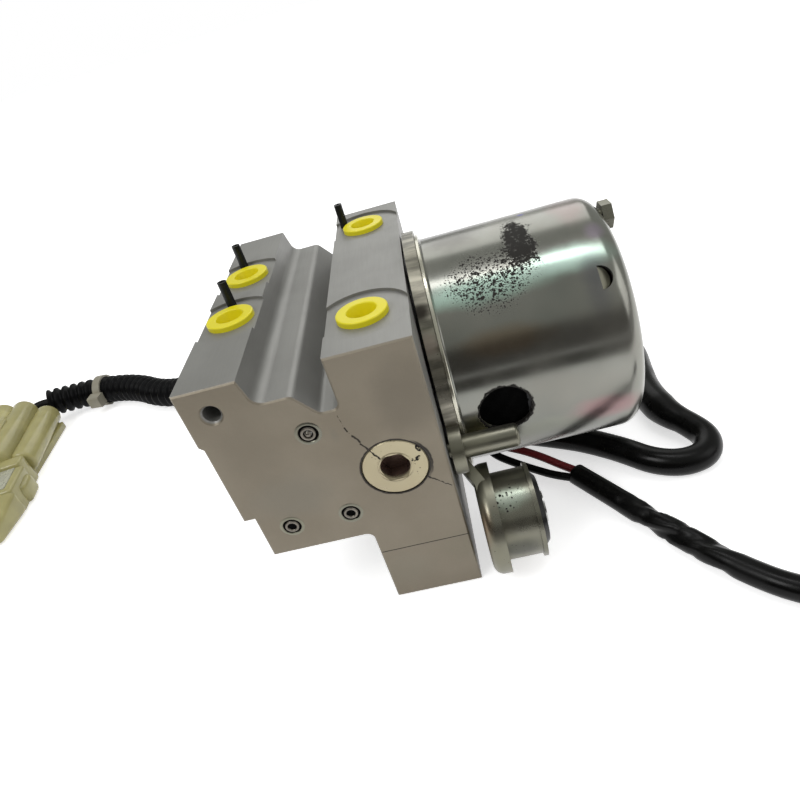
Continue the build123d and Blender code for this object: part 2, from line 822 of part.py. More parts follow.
# Brush card with two brush boxes, and the brushes in them
brush_middle = (commutator_start + commutator_end) / 2
brush_start = commutator_radius + slip_gap
with BuildPart() as brush_card:
    with BuildSketch(motor_face.offset(brush_card_start)):
        with Locations((0, motor_z)):
            Circle(can_inner - slip_gap)
            Circle(commutator_radius + bearing_race_wall, mode=Mode.SUBTRACT)
        with Locations(*[(0, motor_z + side * tie_bolt_ring) for side in (-1, 1)]):
            Circle(tie_bolt_radius + slip_gap, mode=Mode.SUBTRACT)
    extrude(amount=brush_card_thickness)
    box_bottom = brush_card_start + brush_card_thickness
    box_top = brush_middle + brush_thickness / 2 + brush_card_thickness
    box_start = commutator_radius + bearing_race_wall
    for side in (-1, 1):
        with BuildSketch(motor_face.offset(box_bottom)):
            with Locations((side * (box_start + brush_length / 2), motor_z)):
                Rectangle(brush_length, brush_width + 2 * brush_card_thickness)
        extrude(amount=box_top - box_bottom)
        with BuildSketch(motor_face.offset(brush_middle - brush_thickness / 2 - slip_gap)):
            with Locations((side * (box_start + brush_length / 2), motor_z)):
                Rectangle(2 * brush_length, brush_width + 2 * slip_gap)
        extrude(amount=brush_thickness + 2 * slip_gap, mode=Mode.SUBTRACT)
brush_card.part.label = "brush_card"
export_step(brush_card.part, "parts/brush_card.step")

with BuildPart() as brushes:
    with BuildSketch(motor_face.offset(brush_middle - brush_thickness / 2)):
        with Locations(*[(side * (brush_start + brush_length / 2), motor_z) for side in (-1, 1)]):
            Rectangle(brush_length, brush_width)
        with Locations((0, motor_z)):
            Circle(commutator_radius + slip_gap, mode=Mode.SUBTRACT)
    extrude(amount=brush_thickness)
brushes.part.label = "brushes"
export_step(brushes.part, "parts/brushes.step")


# Rubber isolators in the cups, each on a steel bush
grommet_start = cup_flange_start + cup_floor
grommet_end = cup_end + grommet_bulge
for side, end_name in ((-1, "front"), (1, "rear")):
    cup_section = Plane(origin=(face_x, side * cup_y, cup_z), x_dir=(1, 0, 0), z_dir=(0, -1, 0))
    cup_axis = Axis(cup_section.origin, (1, 0, 0))
    with BuildPart() as grommet:
        with BuildSketch(cup_section):
            with BuildLine():
                FilletPolyline(
                    (grommet_start, grommet_hole_radius),
                    (grommet_start, cup_radius - cup_wall - slip_gap),
                    (cup_end, cup_radius - cup_wall - slip_gap),
                    (grommet_end, grommet_bulge_radius - grommet_bulge),
                    (grommet_end, grommet_hole_radius),
                    radius=[0, 0, grommet_bulge / 2, grommet_bulge / 2, 0],
                    close=True,
                )
            make_face()
        revolve(axis=cup_axis)
    grommet.part.label = f"grommet_{end_name}"
    export_step(grommet.part, f"parts/grommet_{end_name}.step")

    with BuildPart() as bush:
        with BuildSketch(cup_section):
            with Locations(((cup_flange_start + grommet_end + bush_overhang) / 2, (bush_radius + bush_bore_radius) / 2)):
                Rectangle(grommet_end + bush_overhang - cup_flange_start, bush_radius - bush_bore_radius)
        revolve(axis=cup_axis)
    bush.part.label = f"bush_{end_name}"
    export_step(bush.part, f"parts/bush_{end_name}.step")


# Solenoid valves: screwed-in bodies with thin tubes, the armatures inside, the coils outside
valve_places = [
    (y_side * valve_spacing_y / 2, valve_z + z_side * valve_spacing_z / 2)
    for z_side in (-1, 1)
    for y_side in (-1, 1)
]
armature_radius = valve_tube_radius - valve_tube_wall - running_gap
tube_floor = valve_tube_wall
tube_hollow = armature_length + armature_stroke + slip_gap
with BuildPart() as valve_bodies:
    with BuildSketch(pad_face.offset(-valve_bore_depth + slip_gap)):
        with Locations(*valve_places):
            Circle(valve_bore_radius)
    extrude(amount=valve_bore_depth - slip_gap)
    with BuildSketch(pad_face):
        with Locations(*valve_places):
            Circle(valve_tube_radius)
    extrude(amount=valve_tube_length)
    with BuildSketch(pad_face.offset(valve_tube_length - tube_floor - tube_hollow)):
        with Locations(*valve_places):
            Circle(valve_tube_radius - valve_tube_wall)
    extrude(amount=tube_hollow, mode=Mode.SUBTRACT)
valve_bodies.part.label = "valve_bodies"
export_step(valve_bodies.part, "parts/valve_bodies.step")

armature_start = valve_tube_length - tube_floor - tube_hollow + slip_gap / 2
for number, place in enumerate(valve_places, start=1):
    with BuildPart() as valve_armature:
        with BuildSketch(pad_face.offset(armature_start)):
            with Locations(place):
                Circle(armature_radius)
        extrude(amount=armature_length)
    valve_armature.part.label = f"valve_armature_{number}"
    export_step(valve_armature.part, f"parts/valve_armature_{number}.step")

coil_start = (cover_gasket + cover_depth - cover_wall - coil_length) / 2
with BuildPart() as valve_coils:
    with BuildSketch(pad_face.offset(coil_start)):
        with Locations(*valve_places):
            Circle(coil_winding_radius)
    extrude(amount=coil_length)
    for start in (coil_start, coil_start + coil_length - coil_flange):
        with BuildSketch(pad_face.offset(start)):
            with Locations(*valve_places):
                Circle(coil_radius)
        extrude(amount=coil_flange)
    with BuildSketch(pad_face):
        with Locations(*valve_places):
            Circle(valve_tube_radius + slip_gap)
    extrude(amount=cover_depth, mode=Mode.SUBTRACT)
valve_coils.part.label = "valve_coils"
export_step(valve_coils.part, "parts/valve_coils.step")


# Valve cover: moulded box on a flange, with the conduit's gland on its rear wall
cover_half_height = (pad_top - pad_bottom) / 2
screw_places = [
    (y_side * cover_screw_y, valve_z + z_side * cover_screw_z)
    for y_side in (-1, 1)
    for z_side in (-1, 1)
]
gland_x = face_x - pad_reach - cover_gasket - cover_flange - gland_radius - gland_clearance
gland_plane = Plane(origin=(gland_x, cover_half_width, valve_z), x_dir=(1, 0, 0), z_dir=(0, 1, 0))
with BuildPart() as cover_seal:
    with BuildSketch(pad_face):
        with Locations((0, valve_z)):
            Rectangle(2 * pad_half_width, 2 * cover_half_height)
            Rectangle(2 * cover_half_width - 2 * cover_wall, 2 * cover_half_height - 2 * cover_wall, mode=Mode.SUBTRACT)
        with Locations(*screw_places):
            Circle(cover_screw_radius, mode=Mode.SUBTRACT)
    extrude(amount=cover_gasket)
cover_seal.part.label = "cover_seal"
export_step(cover_seal.part, "parts/cover_seal.step")

with BuildPart() as valve_cover:
    with BuildSketch(pad_face.offset(cover_gasket)):
        with Locations((0, valve_z)):
            RectangleRounded(2 * cover_half_width, 2 * cover_half_height, cover_round)
    extrude(amount=cover_depth)
    fillet(valve_cover.faces().sort_by(Axis.X)[0].edges(), cover_wall)
    with BuildSketch(pad_face.offset(cover_gasket)):
        with Locations((0, valve_z)):
            RectangleRounded(2 * pad_half_width, 2 * cover_half_height, cover_round)
    extrude(amount=cover_flange)
    with BuildSketch(gland_plane):
        Circle(gland_radius)
    extrude(amount=gland_length)
    with BuildSketch(pad_face.offset(cover_gasket)):
        with Locations((0, valve_z)):
            Rectangle(2 * cover_half_width - 2 * cover_wall, 2 * cover_half_height - 2 * cover_wall)
    extrude(amount=cover_depth - cover_wall, mode=Mode.SUBTRACT)
    with BuildSketch(pad_face.offset(cover_gasket)):
        with Locations(*screw_places):
            Circle(cover_screw_radius)
    extrude(amount=cover_flange, mode=Mode.SUBTRACT)
valve_cover.part.label = "valve_cover"
export_step(valve_cover.part, "parts/valve_cover.step")

with BuildPart() as cover_screws:
    with BuildSketch(pad_face.offset(slip_gap - cover_screw_length)):
        with Locations(*screw_places):
            Circle(cover_screw_radius)
    extrude(amount=cover_screw_length - slip_gap + cover_gasket + cover_flange)
    with BuildSketch(pad_face.offset(cover_gasket + cover_flange)):
        with Locations(*screw_places):
            Circle(cover_head_radius)
    extrude(amount=cover_head_height)
cover_screws.part.label = "cover_screws"
export_step(cover_screws.part, "parts/cover_screws.step")


# Accumulators: sprung pistons behind pressed caps, drawn with the springs at full length
piston_top = accumulator_depth - slip_gap
spring_start = cap_thickness + spring_wire
spring_end = piston_top - piston_length + piston_skirt_depth - spring_wire
for side, end_name in ((1, "front"), (-1, "rear")):
    place = (-accumulator_reach, side * accumulator_y)
    with BuildPart() as accumulator_piston:
        with BuildSketch(underside.offset(-piston_top)):
            with Locations(place):
                Circle(accumulator_radius - running_gap)
        extrude(amount=piston_length)
        with BuildSketch(underside.offset(piston_length - piston_top)):
            with Locations(place):
                Circle(accumulator_radius - piston_skirt_wall)
        extrude(amount=-piston_skirt_depth, mode=Mode.SUBTRACT)
    accumulator_piston.part.label = f"accumulator_piston_{end_name}"
    export_step(accumulator_piston.part, f"parts/accumulator_piston_{end_name}.step")

    with BuildPart() as accumulator_spring:
        with BuildLine():
            Helix(
                pitch=(spring_end - spring_start) / spring_turns,
                height=spring_end - spring_start,
                radius=spring_radius,
                center=(face_x - accumulator_reach, -side * accumulator_y, body_bottom + spring_start),
            )
        spring_path = accumulator_spring.pending_edges[0]
        with BuildSketch(Plane(origin=spring_path @ 0, z_dir=spring_path % 0)):
            Circle(spring_wire)
        sweep(path=spring_path, is_frenet=True)
    accumulator_spring.part.label = f"accumulator_spring_{end_name}"
    export_step(accumulator_spring.part, f"parts/accumulator_spring_{end_name}.step")

with BuildPart() as accumulator_caps:
    with BuildSketch(underside):
        with Locations(*[(-accumulator_reach, side * accumulator_y) for side in (-1, 1)]):
            Circle(accumulator_radius)
    extrude(amount=-cap_thickness)
accumulator_caps.part.label = "accumulator_caps"
export_step(accumulator_caps.part, "parts/accumulator_caps.step")


def bend_radii(points):
    """Largest even bend at each inner point of a route that its two runs leave room for."""
    radii = []
    for before, here, after in zip(points, points[1:], points[2:]):
        run_in = Vector(*here) - Vector(*before)
        run_out = Vector(*after) - Vector(*here)
        half_turn = math.radians(run_in.get_angle(run_out)) / 2
        radii.append(0.45 * min(run_in.length, run_out.length) / math.tan(half_turn))
    return radii


# Cord routes: conduit and wiring on the left, motor leads and hose on the right
routes = {
    "conduit": (conduit_diameter, [
        (gland_x, cover_half_width + gland_length, valve_z),
        (gland_x, 48.1, valve_z),
        (gland_x - 3.0, 64.1, valve_z - 3.3),
        (gland_x - 8.7, 78.3, valve_z - 10.0),
        (gland_x - 17.0, 89.6, valve_z - 18.6),
        (gland_x - 27.6, 97.7, valve_z - 28.0),
        (gland_x - 40.8, 102.2, valve_z - 36.8),
        (gland_x - 56.0, 103.4, valve_z - 42.8),
        (face_x - 146.6, 106.5, 8.3),
        (face_x - 161.7, 113.3, 8.1),
        (face_x - 174.0, 123.5, 8.1),
        (face_x - 188.5, 130.8, 8.1),
        (face_x - 204.0, 134.0, 8.5),
        (face_x - 219.6, 133.1, 9.6),
        (face_x - 234.0, 128.2, 11.8),
    ]),
    "harness_wiring": (wiring_diameter, [
        (face_x - 234.0, 128.2, 11.8),
        (face_x - 239.9, 126.19, 12.78),
        (face_x - 244.4, 121.0, 12.5),
        (face_x - 246.288, 114.822, 12.5),
        (face_x - 245.3, 108.4, 12.5),
    ]),
    "lead_red": (lead_diameter, [
        (face_x + 15.6, -3.6, 14.4),
        (face_x + 15.8, -3.9, 11.0),
        (face_x + 18.8, -5.0, 8.6),
        (face_x + 24.6, -7.2, 7.8),
        (face_x + 31.4, -10.4, 6.4),
        (face_x + 38.37, -15.548, 3.9),
        (face_x + 42.37, -22.173, 3.9),
    ]),
    "lead_black": (lead_diameter, [
        (face_x + 11.6, -4.0, 14.4),
        (face_x + 11.7, -4.3, 10.8),
        (face_x + 14.4, -5.8, 7.4),
        (face_x + 20.0, -8.0, 5.4),
        (face_x + 27.6, -11.6, 4.4),
        (face_x + 35.63, -17.202, 3.9),
        (face_x + 39.63, -23.827, 3.9),
    ]),
    "lead_sleeve": (sleeve_diameter, [
        (face_x + 41.0, -23.0, 3.9),
        (face_x + 47.4, -33.6, 3.9),
        (face_x + 53.2, -43.4, 3.8),
        (face_x + 58.4, -52.2, 3.8),
        (face_x + 63.4, -59.6, 3.8),
        (face_x + 68.6, -68.0, 3.8),
        (face_x + 74.8, -76.4, 3.8),
        (face_x + 82.6, -84.6, 3.8),
        (face_x + 92.6, -90.4, 3.8),
        (face_x + 104.0, -92.4, 3.8),
    ]),
    "breather_hose": (hose_diameter, [
        (face_x, 12.0, 5.0),
        (face_x + 11.0, 12.0, 5.0),
        (face_x + 24.0, 8.6, 4.9),
        (face_x + 37.0, 2.4, 4.8),
        (face_x + 48.6, -4.4, 4.8),
        (face_x + 62.6, -18.6, 4.8),
        (face_x + 70.6, -26.4, 4.8),
        (face_x + 79.8, -29.2, 4.8),
        (face_x + 88.0, -25.4, 4.8),
        (face_x + 91.0, -16.8, 4.8),
        (face_x + 87.4, -7.4, 4.8),
        (face_x + 81.8, 2.2, 4.8),
        (face_x + 79.4, 13.4, 4.8),
        (face_x + 80.6, 25.4, 4.8),
        (face_x + 83.4, 38.0, 4.8),
        (face_x + 85.0, 52.0, 4.8),
        (face_x + 78.0, 69.6, 4.8),
        (face_x + 63.6, 79.6, 4.8),
        (face_x + 46.0, 85.0, 4.8),
        (face_x + 28.0, 86.4, 4.8),
        (face_x + 10.0, 85.8, 4.8),
        (face_x - 6.0, 80.6, 4.9),
        (face_x - 14.0, 69.6, 5.0),
        (face_x - 14.0, 57.0, 5.0),
    ]),
}
paths = {}
for name, (diameter, points) in routes.items():
    radii = bend_radii(points)
    with BuildPart() as cord:
        with BuildLine() as route:
            FilletPolyline(*points, radius=radii)
        path = route.wires()[0]
        with BuildSketch(Plane(origin=path @ 0, z_dir=path % 0)):
            Circle(diameter / 2)
        sweep(path=path)
    expected = math.pi * diameter**2 / 4 * path.length
    print(name, "length", round(path.length, 1), "tightest bend", round(min(radii), 1),
          "volume ratio", round(cord.part.volume / expected, 4))
    paths[name] = path
    cord.part.label = name
    export_step(cord.part, f"parts/{name}.step")


# Harness connector: a housing with a low side wing, and the narrower plug pushed into it
wiring_end = Vector(*routes["harness_wiring"][1][-1])
connector_plane = Plane(
    origin=(wiring_end.X, wiring_end.Y, 0),
    x_dir=Vector(0, 0, 1).cross(Vector(*connector_way)),
    z_dir=connector_way,
)
wing_edge = connector_width / 2 - wing_width
plug_start = connector_length - socket_depth
plug_offset = (connector_width - plug_width) / 2 - 2 * connector_round
plug_bottom = (wing_height - connector_round) / 4
with BuildPart() as connector_housing:
    with BuildSketch(connector_plane):
        with BuildLine():
            FilletPolyline(
                (-connector_width / 2, 0),
                (-connector_width / 2, connector_height),
                (wing_edge, connector_height),
                (wing_edge + connector_round, wing_height),
                (connector_width / 2, wing_height),
                (connector_width / 2, 0),
                radius=connector_round,
                close=True,
            )
        make_face()
    extrude(amount=connector_length)
    with BuildSketch(connector_plane.offset(plug_start)):
        with Locations((plug_offset - wing_width / 2, plug_bottom + plug_height / 2)):
            RectangleRounded(plug_width - wing_width + 2 * slip_gap, plug_height + 2 * slip_gap, connector_round)
    extrude(amount=socket_depth, mode=Mode.SUBTRACT)
connector_housing.part.label = "connector_housing"
export_step(connector_housing.part, "parts/connector_housing.step")

with BuildPart() as connector_plug:
    with BuildSketch(connector_plane.offset(plug_start + slip_gap)):
        with Locations((plug_offset - wing_width / 2, plug_bottom + plug_height / 2)):
            RectangleRounded(plug_width - wing_width, plug_height, connector_round)
    extrude(amount=socket_depth)
    with BuildSketch(connector_plane.offset(connector_length + slip_gap)):
        with Locations((plug_offset, plug_height / 2)):
            RectangleRounded(plug_width, plug_height, 2 * connector_round)
    extrude(amount=plug_length - plug_tip_length)
    with BuildSketch(connector_plane.offset(connector_length + slip_gap + plug_length - plug_tip_length)):
        with Locations((plug_offset, plug_height / 2)):
            RectangleRounded(plug_width, plug_height, 2 * connector_round)
    with BuildSketch(connector_plane.offset(connector_length + slip_gap + plug_length)):
        with Locations((plug_offset, plug_height / 3)):
            RectangleRounded(plug_tip_width, plug_height / 2, 2 * connector_round)
    loft()
connector_plug.part.label = "connector_plug"
export_step(connector_plug.part, "parts/connector_plug.step")


# Plug on the end of the motor lead
lead_end = Vector(*routes["lead_sleeve"][1][-1])
lead_way = (lead_end - Vector(*routes["lead_sleeve"][1][-2])).normalized()
lead_plug_plane = Plane(
    origin=(lead_end.X, lead_end.Y, lead_plug_height / 2),
    x_dir=Vector(0, 0, 1).cross(lead_way),
    z_dir=Vector(lead_way.X, lead_way.Y, 0),
)
with BuildPart() as lead_plug:
    with BuildSketch(lead_plug_plane):
        RectangleRounded(lead_plug_width, lead_plug_height, 2)
    extrude(amount=lead_plug_length)
lead_plug.part.label = "lead_plug"
export_step(lead_plug.part, "parts/lead_plug.step")


# Cable tie round the conduit, with its square head towards the front
tie_point = paths["conduit"] @ tie_position
tie_way = paths["conduit"] % tie_position
tie_plane = Plane(origin=tie_point, x_dir=Vector(0, 0, 1).cross(tie_way), z_dir=tie_way)
tie_outer = conduit_diameter / 2 + tie_thickness
with BuildPart() as cable_tie:
    with BuildSketch(tie_plane.offset(-tie_width / 2)):
        Circle(tie_outer)
        Circle(conduit_diameter / 2 + slip_gap, mode=Mode.SUBTRACT)
    extrude(amount=tie_width)
    with BuildSketch(tie_plane.offset(-tie_head / 2)):
        with Locations((tie_outer + tie_head / 4, 0)):
            RectangleRounded(tie_head, tie_head, tie_thickness)
        Circle(conduit_diameter / 2 + slip_gap, mode=Mode.SUBTRACT)
    extrude(amount=tie_head)
cable_tie.part.label = "cable_tie"
export_step(cable_tie.part, "parts/cable_tie.step")
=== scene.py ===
# %% [markdown]
# # Anti-lock brake module
#
# The imported part gives most rigid shapes. This file adds finishes, the motor can with its holes,
# the moulded details of the connector, and the cords. The first cell loads the frame.

import json
import math

import bpy
from mathutils import Matrix, Vector


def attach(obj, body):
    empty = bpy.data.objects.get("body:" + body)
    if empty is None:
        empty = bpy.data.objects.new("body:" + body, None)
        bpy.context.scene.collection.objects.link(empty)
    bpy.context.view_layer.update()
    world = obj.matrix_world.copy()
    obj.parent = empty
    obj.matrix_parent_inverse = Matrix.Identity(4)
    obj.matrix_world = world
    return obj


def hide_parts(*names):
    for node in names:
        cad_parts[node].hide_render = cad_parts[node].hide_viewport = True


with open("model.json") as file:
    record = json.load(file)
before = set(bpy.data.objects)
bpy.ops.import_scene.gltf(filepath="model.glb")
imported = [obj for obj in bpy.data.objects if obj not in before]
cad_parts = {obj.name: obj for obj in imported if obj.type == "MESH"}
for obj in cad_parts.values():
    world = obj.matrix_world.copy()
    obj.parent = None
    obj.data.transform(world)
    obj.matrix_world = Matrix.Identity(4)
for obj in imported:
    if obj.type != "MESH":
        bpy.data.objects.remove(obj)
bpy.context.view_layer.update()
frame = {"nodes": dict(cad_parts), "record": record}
cad_nodes = frame["nodes"]
print("nodes in the frame:", len(cad_nodes))

# %% [markdown]
# Distances on the module are easiest to read from the motor's mounting face, in millimetres. One
# helper turns them into metres in the frame, so that every later cell can use drawing sizes.

# %% Distances from the motor face
MM = 0.001
FACE_X = 7.6
BLOCK_HALF = 57.0
MOTOR_Z = 54.2


def at(x, y, z):
    """A point given in millimetres from the motor face, in metres in the frame."""
    return Vector(((FACE_X + x) * MM, y * MM, z * MM))


# %% [markdown]
# A finish is a chain of shader nodes. Writing each node as one call keeps a finish readable: an
# input given as a socket is linked, and any other input is a plain value.


# %% Node helper
def add_node(tree, kind, inputs=None, **settings):
    made = tree.nodes.new(kind)
    for key, value in settings.items():
        setattr(made, key, value)
    for key, value in (inputs or {}).items():
        if isinstance(value, bpy.types.NodeSocket):
            tree.links.new(value, made.inputs[key])
        else:
            made.inputs[key].default_value = value
    return made

# %% [markdown]
# Most patterns are sums of a few simple steps. With these short helpers a finish can be read from
# top to bottom: where it is, how strong it is, and which colour it brings.


# %% Sums, steps and mixes
def maths(tree, operation, first, second=0.0, clamp=False):
    made = add_node(tree, "ShaderNodeMath", {0: first, 1: second}, operation=operation)
    made.use_clamp = clamp
    return made.outputs[0]


def times(tree, first, second, clamp=False):
    return maths(tree, "MULTIPLY", first, second, clamp)


def biggest(tree, first, *others):
    for other in others:
        first = maths(tree, "MAXIMUM", first, other)
    return first


def vector_maths(tree, operation, first, second):
    """Two vectors, or for SCALE a vector and a factor. A distance or dot product is a number."""
    inputs = {0: first, "Scale" if operation == "SCALE" else 1: second}
    made = add_node(tree, "ShaderNodeVectorMath", inputs, operation=operation)
    return made.outputs["Value" if operation in ("DISTANCE", "DOT_PRODUCT") else "Vector"]


def axis_value(tree, vector, axis):
    return add_node(tree, "ShaderNodeSeparateXYZ", {0: vector}).outputs[axis]


def noise(tree, vector, scale, detail, roughness=0.5):
    inputs = {"Vector": vector, "Scale": scale, "Detail": detail, "Roughness": roughness}
    return add_node(tree, "ShaderNodeTexNoise", inputs)


def soft_step(tree, value, low, high):
    """0 where the value is at low, 1 where it is at high, with a smooth change between."""
    inputs = {"Value": value, "From Min": low, "From Max": high}
    made = add_node(tree, "ShaderNodeMapRange", inputs, interpolation_type="SMOOTHSTEP")
    return made.outputs["Result"]


def between(tree, value, low, high):
    """Low where the value is 0, and high where it is 1."""
    inputs = {"Value": value, "To Min": low, "To Max": high}
    return add_node(tree, "ShaderNodeMapRange", inputs).outputs["Result"]


def mix_colour(tree, factor, first, second):
    mixed = add_node(tree, "ShaderNodeMix", data_type="RGBA")
    wanted = (("Factor", "VALUE", factor), ("A", "RGBA", first), ("B", "RGBA", second))
    for key, kind, value in wanted:
        socket = [s for s in mixed.inputs if s.name == key and s.type == kind][0]
        if isinstance(value, bpy.types.NodeSocket):
            tree.links.new(value, socket)
        else:
            socket.default_value = value
    return [s for s in mixed.outputs if s.type == "RGBA"][0]


# %% [markdown]
# Dirt, handling marks and scratches appear on many pieces. Each is a small group of nodes that
# gives only a mask, so that every material decides for itself what the mask changes.


# %% Shared mask groups
def start_group(name, **inputs):
    """A group that takes a place and these inputs, and gives one mask. A tuple is a vector."""
    group = bpy.data.node_groups.new(name, "ShaderNodeTree")
    group.interface.new_socket("Vector", in_out="INPUT", socket_type="NodeSocketVector")
    for label, value in inputs.items():
        kind = "NodeSocketVector" if isinstance(value, tuple) else "NodeSocketFloat"
        socket = group.interface.new_socket(label, in_out="INPUT", socket_type=kind)
        socket.default_value = value
    group.interface.new_socket("Mask", in_out="OUTPUT", socket_type="NodeSocketFloat")
    given = group.nodes.new("NodeGroupInput").outputs
    return group, given, group.nodes.new("NodeGroupOutput").inputs


cloud_group, given, result = start_group("cloud", Scale=60.0, Detail=4.0)
cloud_noise = noise(cloud_group, given["Vector"], given["Scale"], given["Detail"])
cloud_group.links.new(soft_step(cloud_group, cloud_noise.outputs[0], 0.3, 0.7), result["Mask"])

speckle_group, given, result = start_group("speckle", Scale=900.0, Amount=0.3)
bend = noise(speckle_group, given["Vector"], 1500.0, 2.0)
nudge = vector_maths(speckle_group, "SCALE", bend.outputs["Color"], 0.0009)
moved = vector_maths(speckle_group, "ADD", given["Vector"], nudge)
spots = add_node(speckle_group, "ShaderNodeTexVoronoi", {"Vector": moved, "Scale": given["Scale"]})
chance = add_node(speckle_group, "ShaderNodeSeparateColor", {0: spots.outputs["Color"]}).outputs[0]
limit = times(speckle_group, given["Amount"], chance)
within = maths(speckle_group, "SUBTRACT", limit, spots.outputs["Distance"])
speckle_group.links.new(times(speckle_group, within, 9.0, clamp=True), result["Mask"])

# %% [markdown]
# Stains sit in one place. A soft patch is 1 at its centre and fades over its own three half
# sizes, and a noise bends its edge, so it never looks like a sprayed ellipse.

# %% Soft patches
patch_group, given, result = start_group(
    "soft_patch", Centre=(0, 0, 0), Stretch=(100, 100, 100), Ragged=0.5
)
shape = noise(patch_group, given["Vector"], 140.0, 5.0)
apart = vector_maths(patch_group, "SUBTRACT", given["Vector"], given["Centre"])
scaled = vector_maths(patch_group, "MULTIPLY", apart, given["Stretch"])
span = vector_maths(patch_group, "DISTANCE", scaled, (0, 0, 0))
uneven = times(patch_group, maths(patch_group, "SUBTRACT", shape.outputs[0], 0.5), given["Ragged"])
rim = maths(patch_group, "ADD", span, uneven)
patch_group.links.new(soft_step(patch_group, rim, 1.0, 0.3), result["Mask"])

# %% [markdown]
# Scratches and edge lines are thin. The first group measures the distance to a straight stretch,
# the second the distance to a circle, and each keeps what lies within a given width.

# %% Scored lines
line_group, given, result = start_group(
    "scored_line", Start=(0, 0, 0), End=(0, 0, 0), Width=0.0003, Wander=0.0004
)
wobble = noise(line_group, given["Vector"], 700.0, 3.0)
centred = vector_maths(line_group, "SUBTRACT", wobble.outputs["Color"], (0.5, 0.5, 0.5))
shift = vector_maths(line_group, "SCALE", centred, given["Wander"])
here = vector_maths(line_group, "ADD", given["Vector"], shift)
run = vector_maths(line_group, "SUBTRACT", given["End"], given["Start"])
away = vector_maths(line_group, "SUBTRACT", here, given["Start"])
along = vector_maths(line_group, "DOT_PRODUCT", away, run)
square = vector_maths(line_group, "DOT_PRODUCT", run, run)
share = maths(line_group, "DIVIDE", along, square, clamp=True)
nearest = vector_maths(line_group, "SCALE", run, share)
gap = vector_maths(line_group, "DISTANCE", away, nearest)
inside = maths(line_group, "SUBTRACT", given["Width"], gap)
sharp = times(line_group, maths(line_group, "DIVIDE", inside, given["Width"]), 2.5, clamp=True)
line_group.links.new(sharp, result["Mask"])

# %% Rings of wear and painted highlight
ring_group, given, result = start_group(
    "wear_and_highlight_ring", Centre=(0, 0, 0), Axis=(0, 1, 0), Radius=0.01, Width=0.0005, Wander=0.0006
)
ring_noise = noise(ring_group, given["Vector"], 600.0, 4.0)
offset = vector_maths(ring_group, "SUBTRACT", given["Vector"], given["Centre"])
lift = vector_maths(ring_group, "DOT_PRODUCT", offset, given["Axis"])
rise = vector_maths(ring_group, "SCALE", given["Axis"], lift)
flat = vector_maths(ring_group, "DISTANCE", offset, rise)
ragged = maths(ring_group, "SUBTRACT", ring_noise.outputs[0], 0.5)
ragged = times(ring_group, ragged, given["Wander"])
radial = maths(ring_group, "SUBTRACT", maths(ring_group, "ADD", flat, ragged), given["Radius"])
closeness = maths(ring_group, "SUBTRACT", given["Width"], maths(ring_group, "ABSOLUTE", radial))
closeness = maths(ring_group, "DIVIDE", closeness, given["Width"])
ring_group.links.new(times(ring_group, closeness, 2.0, clamp=True), result["Mask"])



# %% Use of a mask group
def mask(tree, group, inputs):
    made = add_node(tree, "ShaderNodeGroup", node_tree=group)
    for key, value in inputs.items():
        if isinstance(value, bpy.types.NodeSocket):
            tree.links.new(value, made.inputs[key])
        else:
            made.inputs[key].default_value = value
    return made.outputs["Mask"]


def clouds(tree, coords, scale, detail):
    return mask(tree, cloud_group, {"Vector": coords, "Scale": scale, "Detail": detail})


def speckles(tree, coords, scale, amount):
    return mask(tree, speckle_group, {"Vector": coords, "Scale": scale, "Amount": amount})


def patch(tree, coords, centre, sizes, ragged=0.5):
    """A soft-edged patch round a point: its half sizes along x, y and z are in millimetres."""
    shape = {"Stretch": tuple(1 / (size * MM) for size in sizes), "Ragged": ragged}
    return mask(tree, patch_group, {"Vector": coords, "Centre": at(*centre), **shape})


def scored(tree, coords, start, end, width, wander):
    """A scratch from point to point. Its half width and how far it strays are in millimetres."""
    sizes = {"Width": width * MM, "Wander": wander * MM}
    return mask(tree, line_group, {"Vector": coords, "Start": at(*start), "End": at(*end), **sizes})


def ring(tree, coords, centre, radius, width, wander, axis=(0, 1, 0)):
    """A ring mask about the axis through a point, for worn edges and for a painted highlight. Its
    sizes are in millimetres.
    """
    sizes = {"Radius": radius * MM, "Width": width * MM, "Wander": wander * MM}
    return mask(tree, ring_group, {"Vector": coords, "Centre": at(*centre), "Axis": axis, **sizes})


def tint(tree, coords, base, patches):
    """Each patch lays one more colour over the base, by its strength."""
    for centre, sizes, colour, strength in patches:
        amount = times(tree, patch(tree, coords, centre, sizes), strength)
        base = mix_colour(tree, amount, base, (*colour, 1))
    return base

# %% [markdown]
# Every material starts with the same shader and the object's own coordinates, so the patterns
# stay on the piece when it moves. Colour, roughness and bump are then linked one by one.


# %% Start of a material
def start_material(name, metallic=0.0, roughness=0.5, colour=(0.5, 0.5, 0.5), **sockets):
    """A material with its shader, and the object's own coordinates for its patterns."""
    material = bpy.data.materials.new(name)
    material.use_nodes = True
    tree = material.node_tree
    shader = tree.nodes["Principled BSDF"]
    shader.inputs["Base Color"].default_value = (*colour, 1.0)
    shader.inputs["Metallic"].default_value = metallic
    shader.inputs["Roughness"].default_value = roughness
    for key, value in sockets.items():
        shader.inputs[key.replace("_", " ")].default_value = value
    return material, tree, shader, add_node(tree, "ShaderNodeTexCoord").outputs["Object"]


def use_colour(tree, shader, colour):
    tree.links.new(colour, shader.inputs["Base Color"])


def use_roughness(tree, shader, mask_socket, low, high):
    tree.links.new(between(tree, mask_socket, low, high), shader.inputs["Roughness"])


def use_bump(tree, shader, height, strength=0.2, distance=0.0002):
    inputs = {"Height": height, "Strength": strength, "Distance": distance}
    made = add_node(tree, "ShaderNodeBump", inputs)
    tree.links.new(made.outputs["Normal"], shader.inputs["Normal"])


def stretched(tree, coords, scale):
    return add_node(tree, "ShaderNodeMapping", {"Vector": coords, "Scale": scale}).outputs[0]


